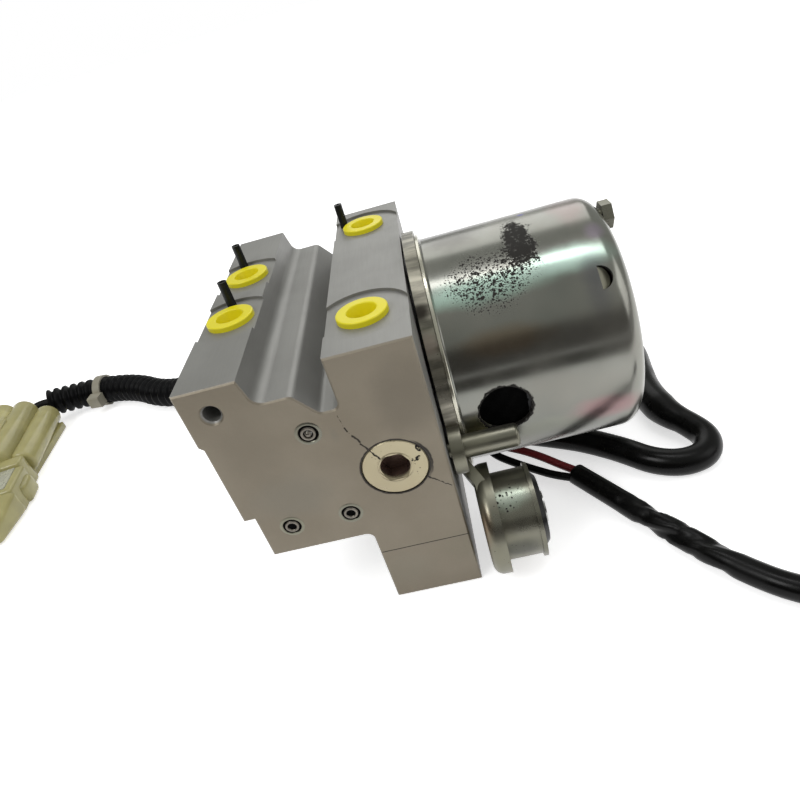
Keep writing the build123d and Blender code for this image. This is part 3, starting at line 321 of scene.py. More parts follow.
# %% [markdown]
# The block is a sawn and milled bar of aluminium. Milling leaves very fine parallel marks, so a
# noise that is stretched along the block's length breaks up the shine. A saw line runs across the
# foot, and an old paint line crosses the pump plug; both are scored lines in the face's own plane.

# %% Milled aluminium
milled, tree, shader, coords = start_material("milled_aluminium", metallic=0.5, roughness=0.45)
milling = noise(tree, stretched(tree, coords, (1.0, 0.06, 1.0)), 1600.0, 2.0).outputs[0]
handling = clouds(tree, coords, 45.0, 5.0)
tone = mix_colour(tree, handling, (0.25, 0.247, 0.233, 1), (0.29, 0.287, 0.272, 1))
# The front face is painted darker and warmer than the milled faces: painted shade over a warmer
# sawn tone.
shaded_sawn_front = mix_colour(tree, handling, (0.205, 0.176, 0.13, 1), (0.233, 0.203, 0.154, 1))
FRONT = -BLOCK_HALF
SAW_Z = 21.9
PLUG_X = -15.0
on_front = soft_step(tree, axis_value(tree, coords, "Y"), -0.0562, -0.0568)
tone = mix_colour(tree, on_front, tone, shaded_sawn_front)
saw_line = scored(tree, coords, (-28.5, FRONT, SAW_Z), (0, FRONT, SAW_Z), 0.22, 0.1)

# %% [markdown]
# The paint line is drawn by hand, so it is a chain of short strokes with their own widths. It is
# broken where the plug sits, and round the plug a dark edge shows the gap of its seat.

# %% Paint line and plug seat
paint_strokes = [
    ((-25.2, 76.0), (-24.7, 71.6), 0.1, 1.0),
    ((-24.7, 71.6), (-24.3, 70.2), 0.28, 0.6),
    ((-24.3, 70.2), (-23.2, 68.4), 0.1, 0.8),
    ((-23.4, 68.5), (-22.0, 65.8), 0.34, 0.9),
    ((-22.0, 65.2), (-19.0, 59.3), 0.36, 1.2),
    ((-7.2, 48.3), (-4.6, 46.2), 0.34, 1.0),
    ((-4.6, 46.2), (-1.0, 42.8), 0.22, 1.2),
]
marks = saw_line
for (x0, z0), (x1, z1), width, wander in paint_strokes:
    stroke = scored(tree, coords, (x0, FRONT, z0), (x1, FRONT, z1), width, wander)
    marks = biggest(tree, marks, stroke)
plug_edge = ring(tree, coords, (PLUG_X, FRONT, MOTOR_Z), 9.9, 0.4, 0.5)
thick_edge = ring(tree, coords, (-14.4, FRONT, MOTOR_Z), 9.9, 0.5, 0.9)
right_side = patch(tree, coords, (-6.0, FRONT, 56.0), (5.0, 4.0, 11.0), 0.2)
thick_edge = times(tree, thick_edge, right_side)
plug_edge = biggest(tree, plug_edge, thick_edge)
marks = biggest(tree, marks, times(tree, plug_edge, on_front))

# %% [markdown]
# Last come dust on the shelf and faint stains on the front. They are patches of a slightly
# different tone, because bare aluminium dulls unevenly where it was touched.

# %% Dust and stains
shelf_dust = patch(tree, coords, (-36.0, -38.0, 70.0), (22.0, 22.0, 12.0))
dust_amount = maths(tree, "ADD", times(tree, shelf_dust, 0.12), 0.05)
dust = speckles(tree, coords, 330.0, dust_amount)
marks = biggest(tree, marks, dust)
tone = tint(tree, coords, tone, [
    ((-3.0, -57.0, 18.0), (9.0, 6.0, 9.0), (0.2, 0.178, 0.13), 0.5),
    ((-22.0, -57.0, 12.0), (12.0, 6.0, 10.0), (0.21, 0.19, 0.145), 0.5),
    ((-47.0, -57.0, 52.0), (16.0, 6.0, 12.0), (0.19, 0.178, 0.145), 0.45),
    ((-28.0, -46.0, 70.0), (3.0, 14.0, 6.0), (0.14, 0.14, 0.12), 0.6),
    ((-6.0, -57.0, 76.0), (13.0, 5.0, 16.0), (0.15, 0.13, 0.098), 0.6),
    ((-52.0, -57.0, 70.0), (12.0, 5.0, 16.0), (0.18, 0.155, 0.115), 0.5),
])
use_colour(tree, shader, mix_colour(tree, marks, tone, (0.02, 0.016, 0.012, 1)))
use_roughness(tree, shader, milling, 0.4, 0.54)
use_bump(tree, shader, milling, 0.03)
print("milled aluminium:", len(tree.nodes), "nodes")

# %% [markdown]
# The motor can, plate, nuts and plugs are steel with a yellow-passivated zinc coat. The coat is
# never even: it drifts between grey, green and a faint pink, so slow noise mixes those tones.


# %% Passivated zinc
DIRT = (0.009, 0.007, 0.005)


def zinc(name, dark, light, tinge, dirt_amount=0.18, roughness=(0.24, 0.42)):
    material, tree, shader, coords = start_material(name, metallic=0.85, roughness=0.3)
    drift = clouds(tree, coords, 26.0, 3.0)
    bloom = clouds(tree, coords, 55.0, 6.0)
    base = mix_colour(tree, drift, (*dark, 1), (*light, 1))
    base = mix_colour(tree, times(tree, bloom, 0.35), base, (*tinge, 1))
    patches = clouds(tree, coords, 90.0, 4.0)
    dirt = speckles(tree, coords, 900.0, times(tree, patches, dirt_amount))
    use_roughness(tree, shader, bloom, *roughness)
    return material, tree, shader, coords, base, dirt


def use_dirt(tree, shader, base, dirt, clean_metal=0.85):
    """Dirt is dark and dull, and covers the metal."""
    use_colour(tree, shader, mix_colour(tree, dirt, base, (*DIRT, 1)))
    tree.links.new(between(tree, dirt, clean_metal, 0.0), shader.inputs["Metallic"])
    smooth = shader.inputs["Roughness"].links[0].from_socket
    dull = maths(tree, "ADD", smooth, times(tree, dirt, 0.6), clamp=True)
    tree.links.new(dull, shader.inputs["Roughness"])

# %% [markdown]
# The plate shows its pressing. Its sheared rim is streaked, the cup carries a painted highlight
# band on its top and a painted shade band below it, and brown tones gather where the strap bends.
# Each of them is one line of the table.

# %% Zinc of the plate
plate_zinc, tree, shader, coords, base, dirt = zinc(
    "plate_zinc", (0.13, 0.128, 0.105), (0.22, 0.215, 0.175), (0.2, 0.19, 0.12), 0.22
)
base = tint(tree, coords, base, [
    # The first line is a painted highlight band on the cup's top, the second a painted shade band
    # under it.
    ((14.0, -55.0, 31.0), (9.0, 5.0, 6.0), (0.34, 0.4, 0.33), 0.7),
    ((14.0, -62.5, 17.0), (9.0, 5.0, 5.0), (0.06, 0.062, 0.055), 0.7),
    ((6.0, -60.0, 24.0), (3.4, 7.0, 12.0), (0.17, 0.11, 0.06), 0.75),
    ((16.0, -58.0, 7.0), (9.0, 6.0, 4.0), (0.36, 0.29, 0.26), 0.6),
    ((3.0, -29.5, 85.5), (3.0, 5.0, 4.5), (0.03, 0.028, 0.022), 0.95),
    ((3.0, -36.5, 77.0), (3.0, 5.0, 7.0), (0.3, 0.25, 0.21), 0.7),
    ((3.0, -42.0, 60.0), (3.0, 6.0, 12.0), (0.2, 0.18, 0.15), 0.5),
])
plate_rim = ring(tree, coords, (0, 0, MOTOR_Z), 43.1, 0.9, 0.6, axis=(1, 0, 0))
streaks = clouds(tree, stretched(tree, coords, (0.15, 1.0, 1.0)), 420.0, 4.0)
sheared = mix_colour(tree, streaks, (0.1, 0.095, 0.078, 1), (0.36, 0.34, 0.28, 1))
base = mix_colour(tree, times(tree, plate_rim, 0.8), base, sheared)
base = tint(tree, coords, base, [
    ((2.0, -29.5, 86.0), (4.0, 3.6, 3.6), (0.035, 0.03, 0.024), 0.95),
    ((2.0, -36.0, 78.5), (4.0, 4.0, 5.0), (0.42, 0.35, 0.3), 0.6),
])
dirt_spots = patch(tree, coords, (13.0, -55.0, 31.0), (8.0, 8.0, 7.0), 1.3)
strap_dirt = patch(tree, coords, (5.0, -40.0, 42.0), (3.0, 5.0, 10.0), 1.4)
dirt_spots = biggest(tree, dirt_spots, strap_dirt)
cup_dirt = speckles(tree, coords, 850.0, times(tree, dirt_spots, 0.5))
use_dirt(tree, shader, base, biggest(tree, dirt, cup_dirt))
print("plate:", len(tree.nodes), "nodes")

# %% [markdown]
# The plug is paler, almost cream, and its socket is painted dark brown inside as painted shade. The
# depth along y tells the socket from the face, and two smears of dark dirt lie on its right.

# %% Zinc of the pump plug
plug_zinc, tree, shader, coords, base, dirt = zinc(
    "plug_zinc", (0.34, 0.29, 0.19), (0.46, 0.41, 0.28), (0.42, 0.36, 0.2), 0.35
)
plug_line = scored(tree, coords, (-20.6, FRONT, 62.6), (-18.4, FRONT, 58.4), 0.3, 1.0)
smear = patch(tree, coords, (-8.4, -57.0, 55.6), (2.6, 3.0, 2.0), 1.6)
smear = biggest(tree, smear, patch(tree, coords, (-7.4, -57.0, 59.0), (1.2, 3.0, 2.0), 1.6))
smear_dots = speckles(tree, coords, 1300.0, times(tree, smear, 1.3))
socket_depth = soft_step(tree, axis_value(tree, coords, "Y"), -0.0566, -0.0545)
socket_shade = mix_colour(tree, dirt, (0.16, 0.105, 0.085, 1), (0.04, 0.025, 0.02, 1))
base = mix_colour(tree, socket_depth, base, socket_shade)
use_dirt(tree, shader, base, biggest(tree, dirt, plug_line, smear_dots), 0.6)
print("pump plug:", len(tree.nodes), "nodes")

# %% [markdown]
# The can carries the strongest marks. Oil has dried on its upper front as a speckled patch, and
# the edge of the round window is ragged where a seal was torn out. Both are masks that are placed
# on the can in millimetres: the patch fades with the distance from its middle.

# %% The can's coat, with painted highlights
can_zinc, tree, shader, coords, base, dirt = zinc(
    "can_zinc", (0.19, 0.195, 0.175), (0.26, 0.265, 0.24), (0.27, 0.25, 0.215), 0.08, (0.16, 0.26)
)
base = tint(tree, coords, base, [
    # The first two lines are a pale green band along the upper front: a painted highlight in the
    # coat's green tint.
    ((22.0, -24.5, 85.6), (30.0, 6.5, 6.0), (0.36, 0.5, 0.42), 0.85),
    ((48.0, -22.0, 87.0), (18.0, 6.5, 6.0), (0.4, 0.53, 0.46), 0.85),
    ((53.0, 2.0, 93.0), (8.0, 16.0, 8.0), (0.3, 0.2, 0.2), 0.4),
    ((16.0, 4.0, 93.0), (14.0, 16.0, 8.0), (0.13, 0.125, 0.115), 0.75),
    ((53.0, -26.0, 74.0), (6.0, 12.0, 20.0), (0.12, 0.12, 0.14), 0.6),
    ((57.0, -15.0, 90.0), (4.0, 5.0, 4.0), (0.42, 0.34, 0.46), 0.45),
    ((50.0, -38.0, 42.5), (14.0, 10.0, 7.5), (0.38, 0.21, 0.22), 0.65),
    ((24.0, -34.5, 72.5), (18.0, 8.0, 5.5), (0.2, 0.145, 0.085), 0.6),
    ((10.0, -38.0, 46.0), (6.0, 8.0, 7.0), (0.36, 0.34, 0.17), 0.7),
    ((30.0, -36.0, 40.0), (20.0, 8.0, 6.0), (0.26, 0.27, 0.22), 0.5),
    ((39.8, 5.2, 93.4), (1.6, 1.8, 1.6), (0.13, 0.12, 0.42), 0.9),
])
# The rolled lip is painted as a bright ring: a painted highlight along its edge.
lip_highlight = ring(tree, coords, (4.8, 0, MOTOR_Z), 41.3, 0.9, 0.4, axis=(1, 0, 0))
base = mix_colour(tree, times(tree, lip_highlight, 0.8), base, (0.62, 0.6, 0.5, 1))

# %% [markdown]
# The dried oil has two sizes of spots in a wide field, and a caked core where a noise is pushed
# over its limit. The spots get rarer towards the field's edge because their limit follows it.

# %% Dried oil and the window's edge
field = patch(tree, coords, (24.0, -22.0, 87.0), (21.0, 17.0, 13.0), 0.5)
core = patch(tree, coords, (35.5, -10.0, 92.0), (7.5, 19.0, 10.0), 0.9)
amount = maths(tree, "ADD", times(tree, field, 0.85), times(tree, core, 1.1))
crust = speckles(tree, coords, 1050.0, times(tree, amount, 0.85))
fine = speckles(tree, coords, 2100.0, amount)
caked = noise(tree, coords, 650.0, 8.0, 0.8).outputs[0]
caked = maths(tree, "SUBTRACT", maths(tree, "ADD", caked, times(tree, core, 0.38)), 0.74)
crust = biggest(tree, crust, times(tree, caked, 12.0, clamp=True))
window_edge = ring(tree, coords, (19.9, -39.0, 51.8), 8.3, 0.6, 2.2)
in_front = soft_step(tree, axis_value(tree, coords, "Y"), -0.02, -0.03)
stains = biggest(tree, crust, fine, times(tree, window_edge, in_front), dirt)
use_dirt(tree, shader, base, stains)
print("can:", len(tree.nodes), "nodes")


# %% [markdown]
# The remaining finishes are plain ones: moulded plastics, rubber, ground steel and castings. One
# table names them, and a fine noise in the roughness keeps them from looking like paint.


# %% Plain finishes
def plain(name, colour, metallic, roughness, spread=0.08, mottle=0.12, **sockets):
    material, tree, shader, coords = start_material(name, metallic, roughness, colour, **sockets)
    cloud = clouds(tree, coords, 120.0, 5.0)
    darker = tuple(c * (1 - mottle) for c in colour)
    use_colour(tree, shader, mix_colour(tree, cloud, (*darker, 1), (*colour, 1)))
    use_roughness(tree, shader, cloud, roughness - spread, roughness + spread)
    return material


finishes = {
    "aluminium_block": milled,
    "zinc_plate": plate_zinc,
    "yellow_plastic": plain("yellow_plastic", (0.8, 0.71, 0.008), 0.0, 0.4, mottle=0.05),
    "dark_steel": plain("dark_steel", (0.018, 0.02, 0.02), 0.6, 0.4),
    "bright_steel": plain("bright_steel", (0.45, 0.45, 0.44), 0.95, 0.25),
    "void_black": plain("void_black", (0.0015, 0.0015, 0.0015), 0.0, 0.85, Specular_IOR_Level=0.05),
    "worn_steel": plain("worn_steel", (0.22, 0.2, 0.17), 0.9, 0.34, mottle=0.5),
    "cast_aluminium": plain("cast_aluminium", (0.3, 0.3, 0.29), 0.85, 0.5),
    "lamination_steel": plain("lamination_steel", (0.1, 0.1, 0.1), 0.7, 0.5),
    "ferrite": plain("ferrite", (0.03, 0.03, 0.032), 0.1, 0.6),
    "copper": plain("copper", (0.4, 0.14, 0.05), 0.9, 0.35),
    "bronze": plain("bronze", (0.32, 0.2, 0.07), 0.9, 0.45),
    "carbon": plain("carbon", (0.02, 0.02, 0.02), 0.1, 0.6),
    "black_plastic": plain(
        "black_plastic", (0.0025, 0.0025, 0.003), 0.0, 0.42, Specular_IOR_Level=0.1
    ),
    "black_rubber": plain(
        "black_rubber", (0.003, 0.003, 0.003), 0.0, 0.3, Specular_IOR_Level=0.16
    ),
    "pale_plastic": plain(
        "pale_plastic", (0.6, 0.6, 0.47), 0.0, 0.25, mottle=0.1, Transmission_Weight=0.3
    ),
    "red_insulation": plain("red_insulation", (0.2, 0.012, 0.016), 0.0, 0.35),
    "white_nylon": plain("white_nylon", (0.33, 0.31, 0.24), 0.0, 0.4, mottle=0.2),
    "milky_plastic": plain(
        "milky_plastic", (0.62, 0.57, 0.25), 0.0, 0.2, spread=0.05, Transmission_Weight=0.35
    ),
}
slot_of = {entry["node"]: entry["material_slot"] for entry in frame["record"]["subparts"]}
for name, node in cad_nodes.items():
    node.data.materials.clear()
    node.data.materials.append(finishes[slot_of[name]])
own_coats = {"motor_can": can_zinc, "pump_plug_front": plug_zinc, "pump_plug_rear": plug_zinc}
for name, material in own_coats.items():
    cad_nodes[name].data.materials[0] = material
print("finishes:", len(finishes))


# %% [markdown]
# Deep-drawn and turned parts are round, so one side of their section is drawn as a line and spun
# about the axis. Holes are then cut with Boolean modifiers, as a punch would cut them.


# %% Spinning and cutting
def take(piece):
    """Only this piece is selected and active, so that an operator acts on nothing else."""
    bpy.ops.object.select_all(action="DESELECT")
    piece.select_set(True)
    bpy.context.view_layer.objects.active = piece


def open_whole(piece):
    """Edit Mode with the whole piece selected."""
    take(piece)
    bpy.ops.object.mode_set(mode="EDIT")
    bpy.ops.mesh.select_all(action="SELECT")


def finish_piece(piece, name, material, smooth=30):
    """Place and turn go into the mesh, which then gets its smooth sides, finish and body."""
    take(piece)
    bpy.ops.object.transform_apply(location=True, rotation=True, scale=True)
    open_whole(piece)
    bpy.ops.mesh.normals_make_consistent(inside=False)
    bpy.ops.object.mode_set(mode="OBJECT")
    bpy.ops.object.shade_smooth_by_angle(angle=math.radians(smooth))
    piece.name = piece.data.name = name
    piece.data.materials.clear()
    piece.data.materials.append(material)
    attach(piece, "unit")
    print(name, len(piece.data.polygons), "faces")
    return piece

# %% Spinning a section
def spun(name, profile, origin, axis, closed=False, steps=64):
    """A line of (distance along the axis, radius) pairs in millimetres, spun all the way round."""
    axis = Vector(axis)
    side = axis.orthogonal().normalized()
    corners = [origin + (axis * along + side * radius) * MM for along, radius in profile]
    edges = [(k, k + 1) for k in range(len(corners) - 1)]
    if closed:
        edges.append((len(corners) - 1, 0))
    mesh = bpy.data.meshes.new(name)
    mesh.from_pydata(corners, edges, [])
    piece = bpy.data.objects.new(name, mesh)
    bpy.context.scene.collection.objects.link(piece)
    open_whole(piece)
    bpy.ops.mesh.spin(steps=steps, angle=2 * math.pi, center=origin, axis=axis)
    bpy.ops.mesh.select_all(action="SELECT")
    bpy.ops.mesh.remove_doubles(threshold=0.000002)
    bpy.ops.object.mode_set(mode="OBJECT")
    return piece

# %% Cutting and modifiers
def apply_modifier(piece, kind, **settings):
    made = piece.modifiers.new(kind.lower(), kind)
    for key, value in settings.items():
        setattr(made, key, value)
    take(piece)
    bpy.ops.object.modifier_apply(modifier=made.name)


def punch(piece, cutter):
    """Cuts the cutter's shape out of the piece, and removes the cutter."""
    apply_modifier(piece, "BOOLEAN", operation="DIFFERENCE", object=cutter, solver="EXACT")
    bpy.data.objects.remove(cutter)


def rod(radius, depth, place, way):
    """A round bar that is centred on a place and points a way."""
    bpy.ops.object.select_all(action="DESELECT")
    bpy.ops.mesh.primitive_cylinder_add(vertices=64, radius=radius * MM, depth=depth * MM)
    made = bpy.context.object
    made.location = place
    made.rotation_euler = Vector(way).to_track_quat("Z", "Y").to_euler()
    return made


# %% [markdown]
# The can is one deep-drawn cup with a rolled lip and a rounded end. It is spun from its section,
# and the window, the half-round vent and two nut notches are punched out of it.

# %% Motor can
CAN = 39.5
WALL = 1.6
LIP = 41.3
CAN_END = 57.5
CORNER = 6.0
INNER_CORNER = 4.4
WINDOW_X, WINDOW_Z, WINDOW_RADIUS = 19.9, 51.8, 8.1
VENT_X, VENT_ANGLE = 54.2, math.radians(44)
can_section = [(66.5, 0.0), (66.5, 8.4), (66.2, 9.2), (63.9, 10.2), (63.5, 11.0)]
for k in range(11):
    turn = math.pi / 2 * k / 10
    can_section.append((CAN_END + CORNER * math.cos(turn), CAN - CORNER + CORNER * math.sin(turn)))
can_section += [(50.0, CAN), (36.0, CAN), (20.0, CAN), (6.6, CAN), (6.2, CAN + 0.3)]
can_section += [(6.0, LIP - 0.2), (5.8, LIP), (5.0, LIP), (4.8, LIP - 0.2)]
can_section += [(4.8, CAN - WALL), (30.0, CAN - WALL)]
for k in range(7):
    turn = math.pi / 2 * k / 6
    along, out = INNER_CORNER * math.sin(turn), INNER_CORNER * math.cos(turn)
    can_section.append((CAN_END + along, CAN - CORNER + out))
can_section += [(61.9, 9.6), (64.9, 8.0), (64.9, 0.0)]
can = spun("motor_can_shell", can_section, at(0, 0, MOTOR_Z), (1, 0, 0), steps=128)
punch(can, rod(WINDOW_RADIUS, 16.0, at(WINDOW_X, -CAN, WINDOW_Z), (0, -1, 0)))
vent_way = Vector((0, -math.cos(VENT_ANGLE), math.sin(VENT_ANGLE)))
vent_place = at(VENT_X, 0, MOTOR_Z) + vent_way * (CAN * MM)
half_round = rod(3.7, 8.0, vent_place, vent_way)
open_whole(half_round)
bpy.ops.mesh.bisect(plane_co=vent_place, plane_no=(1, 0, 0), clear_inner=True, use_fill=True)
bpy.ops.object.mode_set(mode="OBJECT")
punch(can, half_round)
for side in (-1, 1):
    punch(can, rod(3.8, 4.0, at(5.4, side * 44.0, 45.4), (1, 0, 0)))
finish_piece(can, "motor_can_shell", can_zinc)
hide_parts("motor_can")

# %% [markdown]
# Two small things sit in its holes. The punched half-moon of the vent hangs on as a bent tab, and a
# black sheet of painted shade closes the window from behind, so the inside stays dark.

# %% Vent tab and window shade sheet
bpy.ops.object.select_all(action="DESELECT")
bpy.ops.mesh.primitive_circle_add(vertices=40, radius=3.5 * MM, fill_type="NGON")
tab = bpy.context.object
open_whole(tab)
bpy.ops.mesh.bisect(plane_co=(0, 0, 0), plane_no=(1, 0, 0), clear_inner=True)
bpy.ops.object.mode_set(mode="OBJECT")
apply_modifier(tab, "SOLIDIFY", thickness=0.9 * MM, offset=-1)
across = vent_way.cross(Vector((1, 0, 0)))
tab.data.transform(Matrix.Rotation(math.radians(26), 4, "Y"))
tab.data.transform(Matrix((Vector((1, 0, 0)), across, vent_way)).transposed().to_4x4())
tab.data.transform(Matrix.Translation(vent_place - vent_way * (0.5 * MM)))
finish_piece(tab, "vent_tab", plate_zinc)

bpy.ops.mesh.primitive_grid_add(x_subdivisions=24, y_subdivisions=24, size=19.0 * MM)
shade_sheet = bpy.context.object
for vertex in shade_sheet.data.vertices:
    across_x, across_z = vertex.co.x / MM, vertex.co.y / MM
    bulge = 0.35 * math.sin(across_x * 1.1) * math.sin(across_z * 0.9 + 1.0)
    depth = math.sqrt((CAN - WALL - 0.6 + bulge) ** 2 - (WINDOW_Z + across_z - MOTOR_Z) ** 2)
    vertex.co = at(WINDOW_X + across_x, -depth, WINDOW_Z + across_z)
apply_modifier(shade_sheet, "SOLIDIFY", thickness=0.4 * MM, offset=0)
finish_piece(shade_sheet, "window_shade_sheet", finishes["void_black"], smooth=80)

# %% [markdown]
# The drilled galleries are closed by pressed-in expanders. Each shows a chamfered edge, a dark gap
# and a bright sleeve, so one section with these steps is spun at every place.

# %% Gallery collars
OUTWARD = (0, -1, 0)
GALLERIES = [(-34.6, 72.6), (-50.8, 41.1), (-32.3, 41.1)]
rim_section = [(0.0, 2.75), (0.2, 2.95), (0.24, 3.2), (0.04, 3.75), (-0.4, 3.7), (-0.4, 2.7)]
gap_section = [(0.03, 0.0), (0.03, 2.8), (-0.3, 2.8), (-0.3, 0.0)]
sleeve_section = [(0.06, 1.3), (0.34, 1.45), (0.42, 1.75), (0.34, 2.05), (0.06, 2.2)]
for number, (x, z) in enumerate(GALLERIES, start=1):
    place = at(x, FRONT, z)
    rim = spun("rim", rim_section, place, OUTWARD, closed=True, steps=40)
    finish_piece(rim, f"gallery_rim_{number}", plate_zinc)
    gap = spun("gap", gap_section, place, OUTWARD, steps=32)
    finish_piece(gap, f"gallery_gap_{number}", finishes["void_black"])
    collar = spun("collar", sleeve_section, place, OUTWARD, closed=True, steps=40)
    finish_piece(collar, f"gallery_collar_{number}", finishes["worn_steel"])
bead_section = [(0.05, 0.95), (0.5, 0.8), (0.8, 0.45), (0.9, 0.0)]
first_x, first_z = GALLERIES[0]
bead = spun("bead", bead_section, at(first_x, FRONT, first_z), OUTWARD, steps=32)
finish_piece(bead, "gallery_bead", finishes["worn_steel"], smooth=60)

# %% [markdown]
# The key socket of the pump plug is hexagonal below and round at its mouth, where a countersink
# has cut the corners away. A spun ring gives that mouth.

# %% Socket mouth
mouth_section = [(0.05, 5.35), (0.12, 5.15), (-0.5, 4.35), (-1.2, 4.35), (-1.2, 5.3)]
mouth = spun("mouth", mouth_section, at(PLUG_X, FRONT, MOTOR_Z), OUTWARD, closed=True, steps=48)
finish_piece(mouth, "socket_mouth", plug_zinc)

# %% [markdown]
# The harness connector is a translucent moulding that lies half rolled over. Its housing is a
# low body with four round wire tunnels along it, a foot rail and a thick front band, and the plug
# is the narrower box that is pushed into the band. Each is a cube or a bar that is tapered and
# bevelled, and all are laid out along the connector's own length.

# %% Connector
ALONG = Vector((0.152, -0.988, 0))
ACROSS = Vector((0.988, 0.152, 0))
CONNECTOR = at(-245.3, 108.4, 0)
lie = Matrix((ACROSS, Vector((0, 0, 1)), ALONG)).transposed().to_4x4()
lie.translation = CONNECTOR
milky = finishes["milky_plastic"]


def lay_out(piece, name, material, bevel):
    """Rounds the edges and lays the piece along the connector."""
    take(piece)
    bpy.ops.object.transform_apply(location=True, rotation=True, scale=True)
    limit = {"limit_method": "ANGLE", "angle_limit": math.radians(40)}
    apply_modifier(piece, "BEVEL", width=bevel * MM, segments=3, **limit)
    piece.data.transform(lie)
    return finish_piece(piece, name, material, smooth=50)


def moulded_box(
    name, sides, heights, reach, material=milky, taper=(1.0, 1.0), shift=0.0, bevel=1.2
):
    """A box between two sides, two heights and two places along the connector, in its own
    millimetres. Its far end may be tapered and shifted."""
    left, right, bottom, top, near, far = (value * MM for value in (*sides, *heights, *reach))
    middle = Vector(((left + right) / 2, (bottom + top) / 2, (near + far) / 2))
    bpy.ops.object.select_all(action="DESELECT")
    bpy.ops.mesh.primitive_cube_add(size=1, location=middle)
    piece = bpy.context.object
    piece.scale = (right - left, top - bottom, far - near)
    bpy.ops.object.transform_apply(location=True, rotation=True, scale=True)
    for vertex in piece.data.vertices:
        if vertex.co.z > middle.z:
            vertex.co.x = middle.x + (vertex.co.x - middle.x) * taper[0] + shift * MM
            vertex.co.y = bottom + (vertex.co.y - bottom) * taper[1]
    return lay_out(piece, name, material, bevel)


def wire_tunnel(name, across, height, radius, near, far):
    """A round tunnel along the connector with a domed tail."""
    bpy.ops.object.select_all(action="DESELECT")
    bpy.ops.mesh.primitive_cylinder_add(vertices=40, radius=radius * MM, depth=(far - near) * MM)
    piece = bpy.context.object
    piece.location = (across * MM, height * MM, (near + far) / 2 * MM)
    return lay_out(piece, name, milky, radius * 0.3)

# %% [markdown]
# With these helpers the connector is a short list. The sizes are its own: sides across it,
# heights over the floor and places along it, counted from the housing's wire end.

# %% Housing and plug
housing_pieces = [
    moulded_box(
        "housing_body", (-21.5, 19.0), (0.4, 13.5), (-1.0, 50.0),
        taper=(0.93, 1.0), shift=-1.4, bevel=1.5,
    ),
    moulded_box(
        "housing_rail", (12.0, 21.0), (0.3, 4.6), (-4.0, 44.0),
        taper=(0.9, 1.0), shift=-4.2, bevel=0.8,
    ),
    moulded_box("housing_band", (-22.0, 18.6), (0.4, 16.6), (43.0, 51.0), bevel=1.4),
    moulded_box(
        "housing_latch", (-8.0, 4.0), (16.0, 25.0), (12.0, 47.0), taper=(0.8, 0.8), bevel=1.0
    ),
    wire_tunnel("tunnel_1", 14.5, 10.0, 6.8, -7.5, 42.0),
    wire_tunnel("tunnel_2", 4.5, 16.5, 7.0, -8.5, 44.0),
    wire_tunnel("tunnel_3", -6.5, 18.2, 7.2, -8.5, 44.0),
    wire_tunnel("tunnel_4", -16.0, 14.0, 5.8, -3.0, 43.0),
]
plug_pieces = [
    moulded_box("plug_body", (-19.5, 20.5), (0.4, 15.0), (51.0, 72.0), bevel=1.6),
    moulded_box("plug_shoulder", (-16.0, 22.6), (0.3, 11.0), (53.0, 66.0), bevel=2.6),
    moulded_box(
        "plug_nose", (-18.5, 21.6), (0.4, 14.4), (70.0, 93.5),
        taper=(0.8, 0.6), shift=-1.5, bevel=2.8,
    ),
]
pale = finishes["pale_plastic"]
plug_pieces.append(
    moulded_box("plug_window", (-14.0, 16.8), (14.6, 15.5), (52.5, 69.0), material=pale, bevel=0.3)
)
for piece in housing_pieces:
    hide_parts("connector_housing")
for piece in plug_pieces:
    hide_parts("connector_plug")

# %% [markdown]
# A loose cord follows one smooth spline that a few control points shape. Each cord replaces its
# plain solid from the frame and keeps close to that solid's route.


# %% Cords
def route_line(points, step):
    """Points a step apart along the smooth spline that the control points shape."""
    curve = bpy.data.curves.new("route", "CURVE")
    curve.dimensions = "3D"
    curve.resolution_u = 24
    spline = curve.splines.new("NURBS")
    spline.points.add(len(points) - 1)
    for control, point in zip(spline.points, points):
        control.co = (*at(*point), 1.0)
    spline.order_u = 3
    spline.use_endpoint_u = True
    route = bpy.data.objects.new("route", curve)
    mesh = bpy.data.meshes.new_from_object(route)
    corners = [v.co.copy() for v in mesh.vertices]
    bpy.data.meshes.remove(mesh)
    bpy.data.objects.remove(route)
    bpy.data.curves.remove(curve)
    reach = [0.0]
    for before, after in zip(corners, corners[1:]):
        reach.append(reach[-1] + (after - before).length)
    count = max(2, round(reach[-1] / (step * MM)))
    line, part = [], 0
    for number in range(count + 1):
        want = reach[-1] * number / count
        while part < len(reach) - 2 and reach[part + 1] < want:
            part += 1
        share = (want - reach[part]) / max(reach[part + 1] - reach[part], 1e-9)
        line.append(corners[part].lerp(corners[part + 1], share))
    return line, reach[-1]


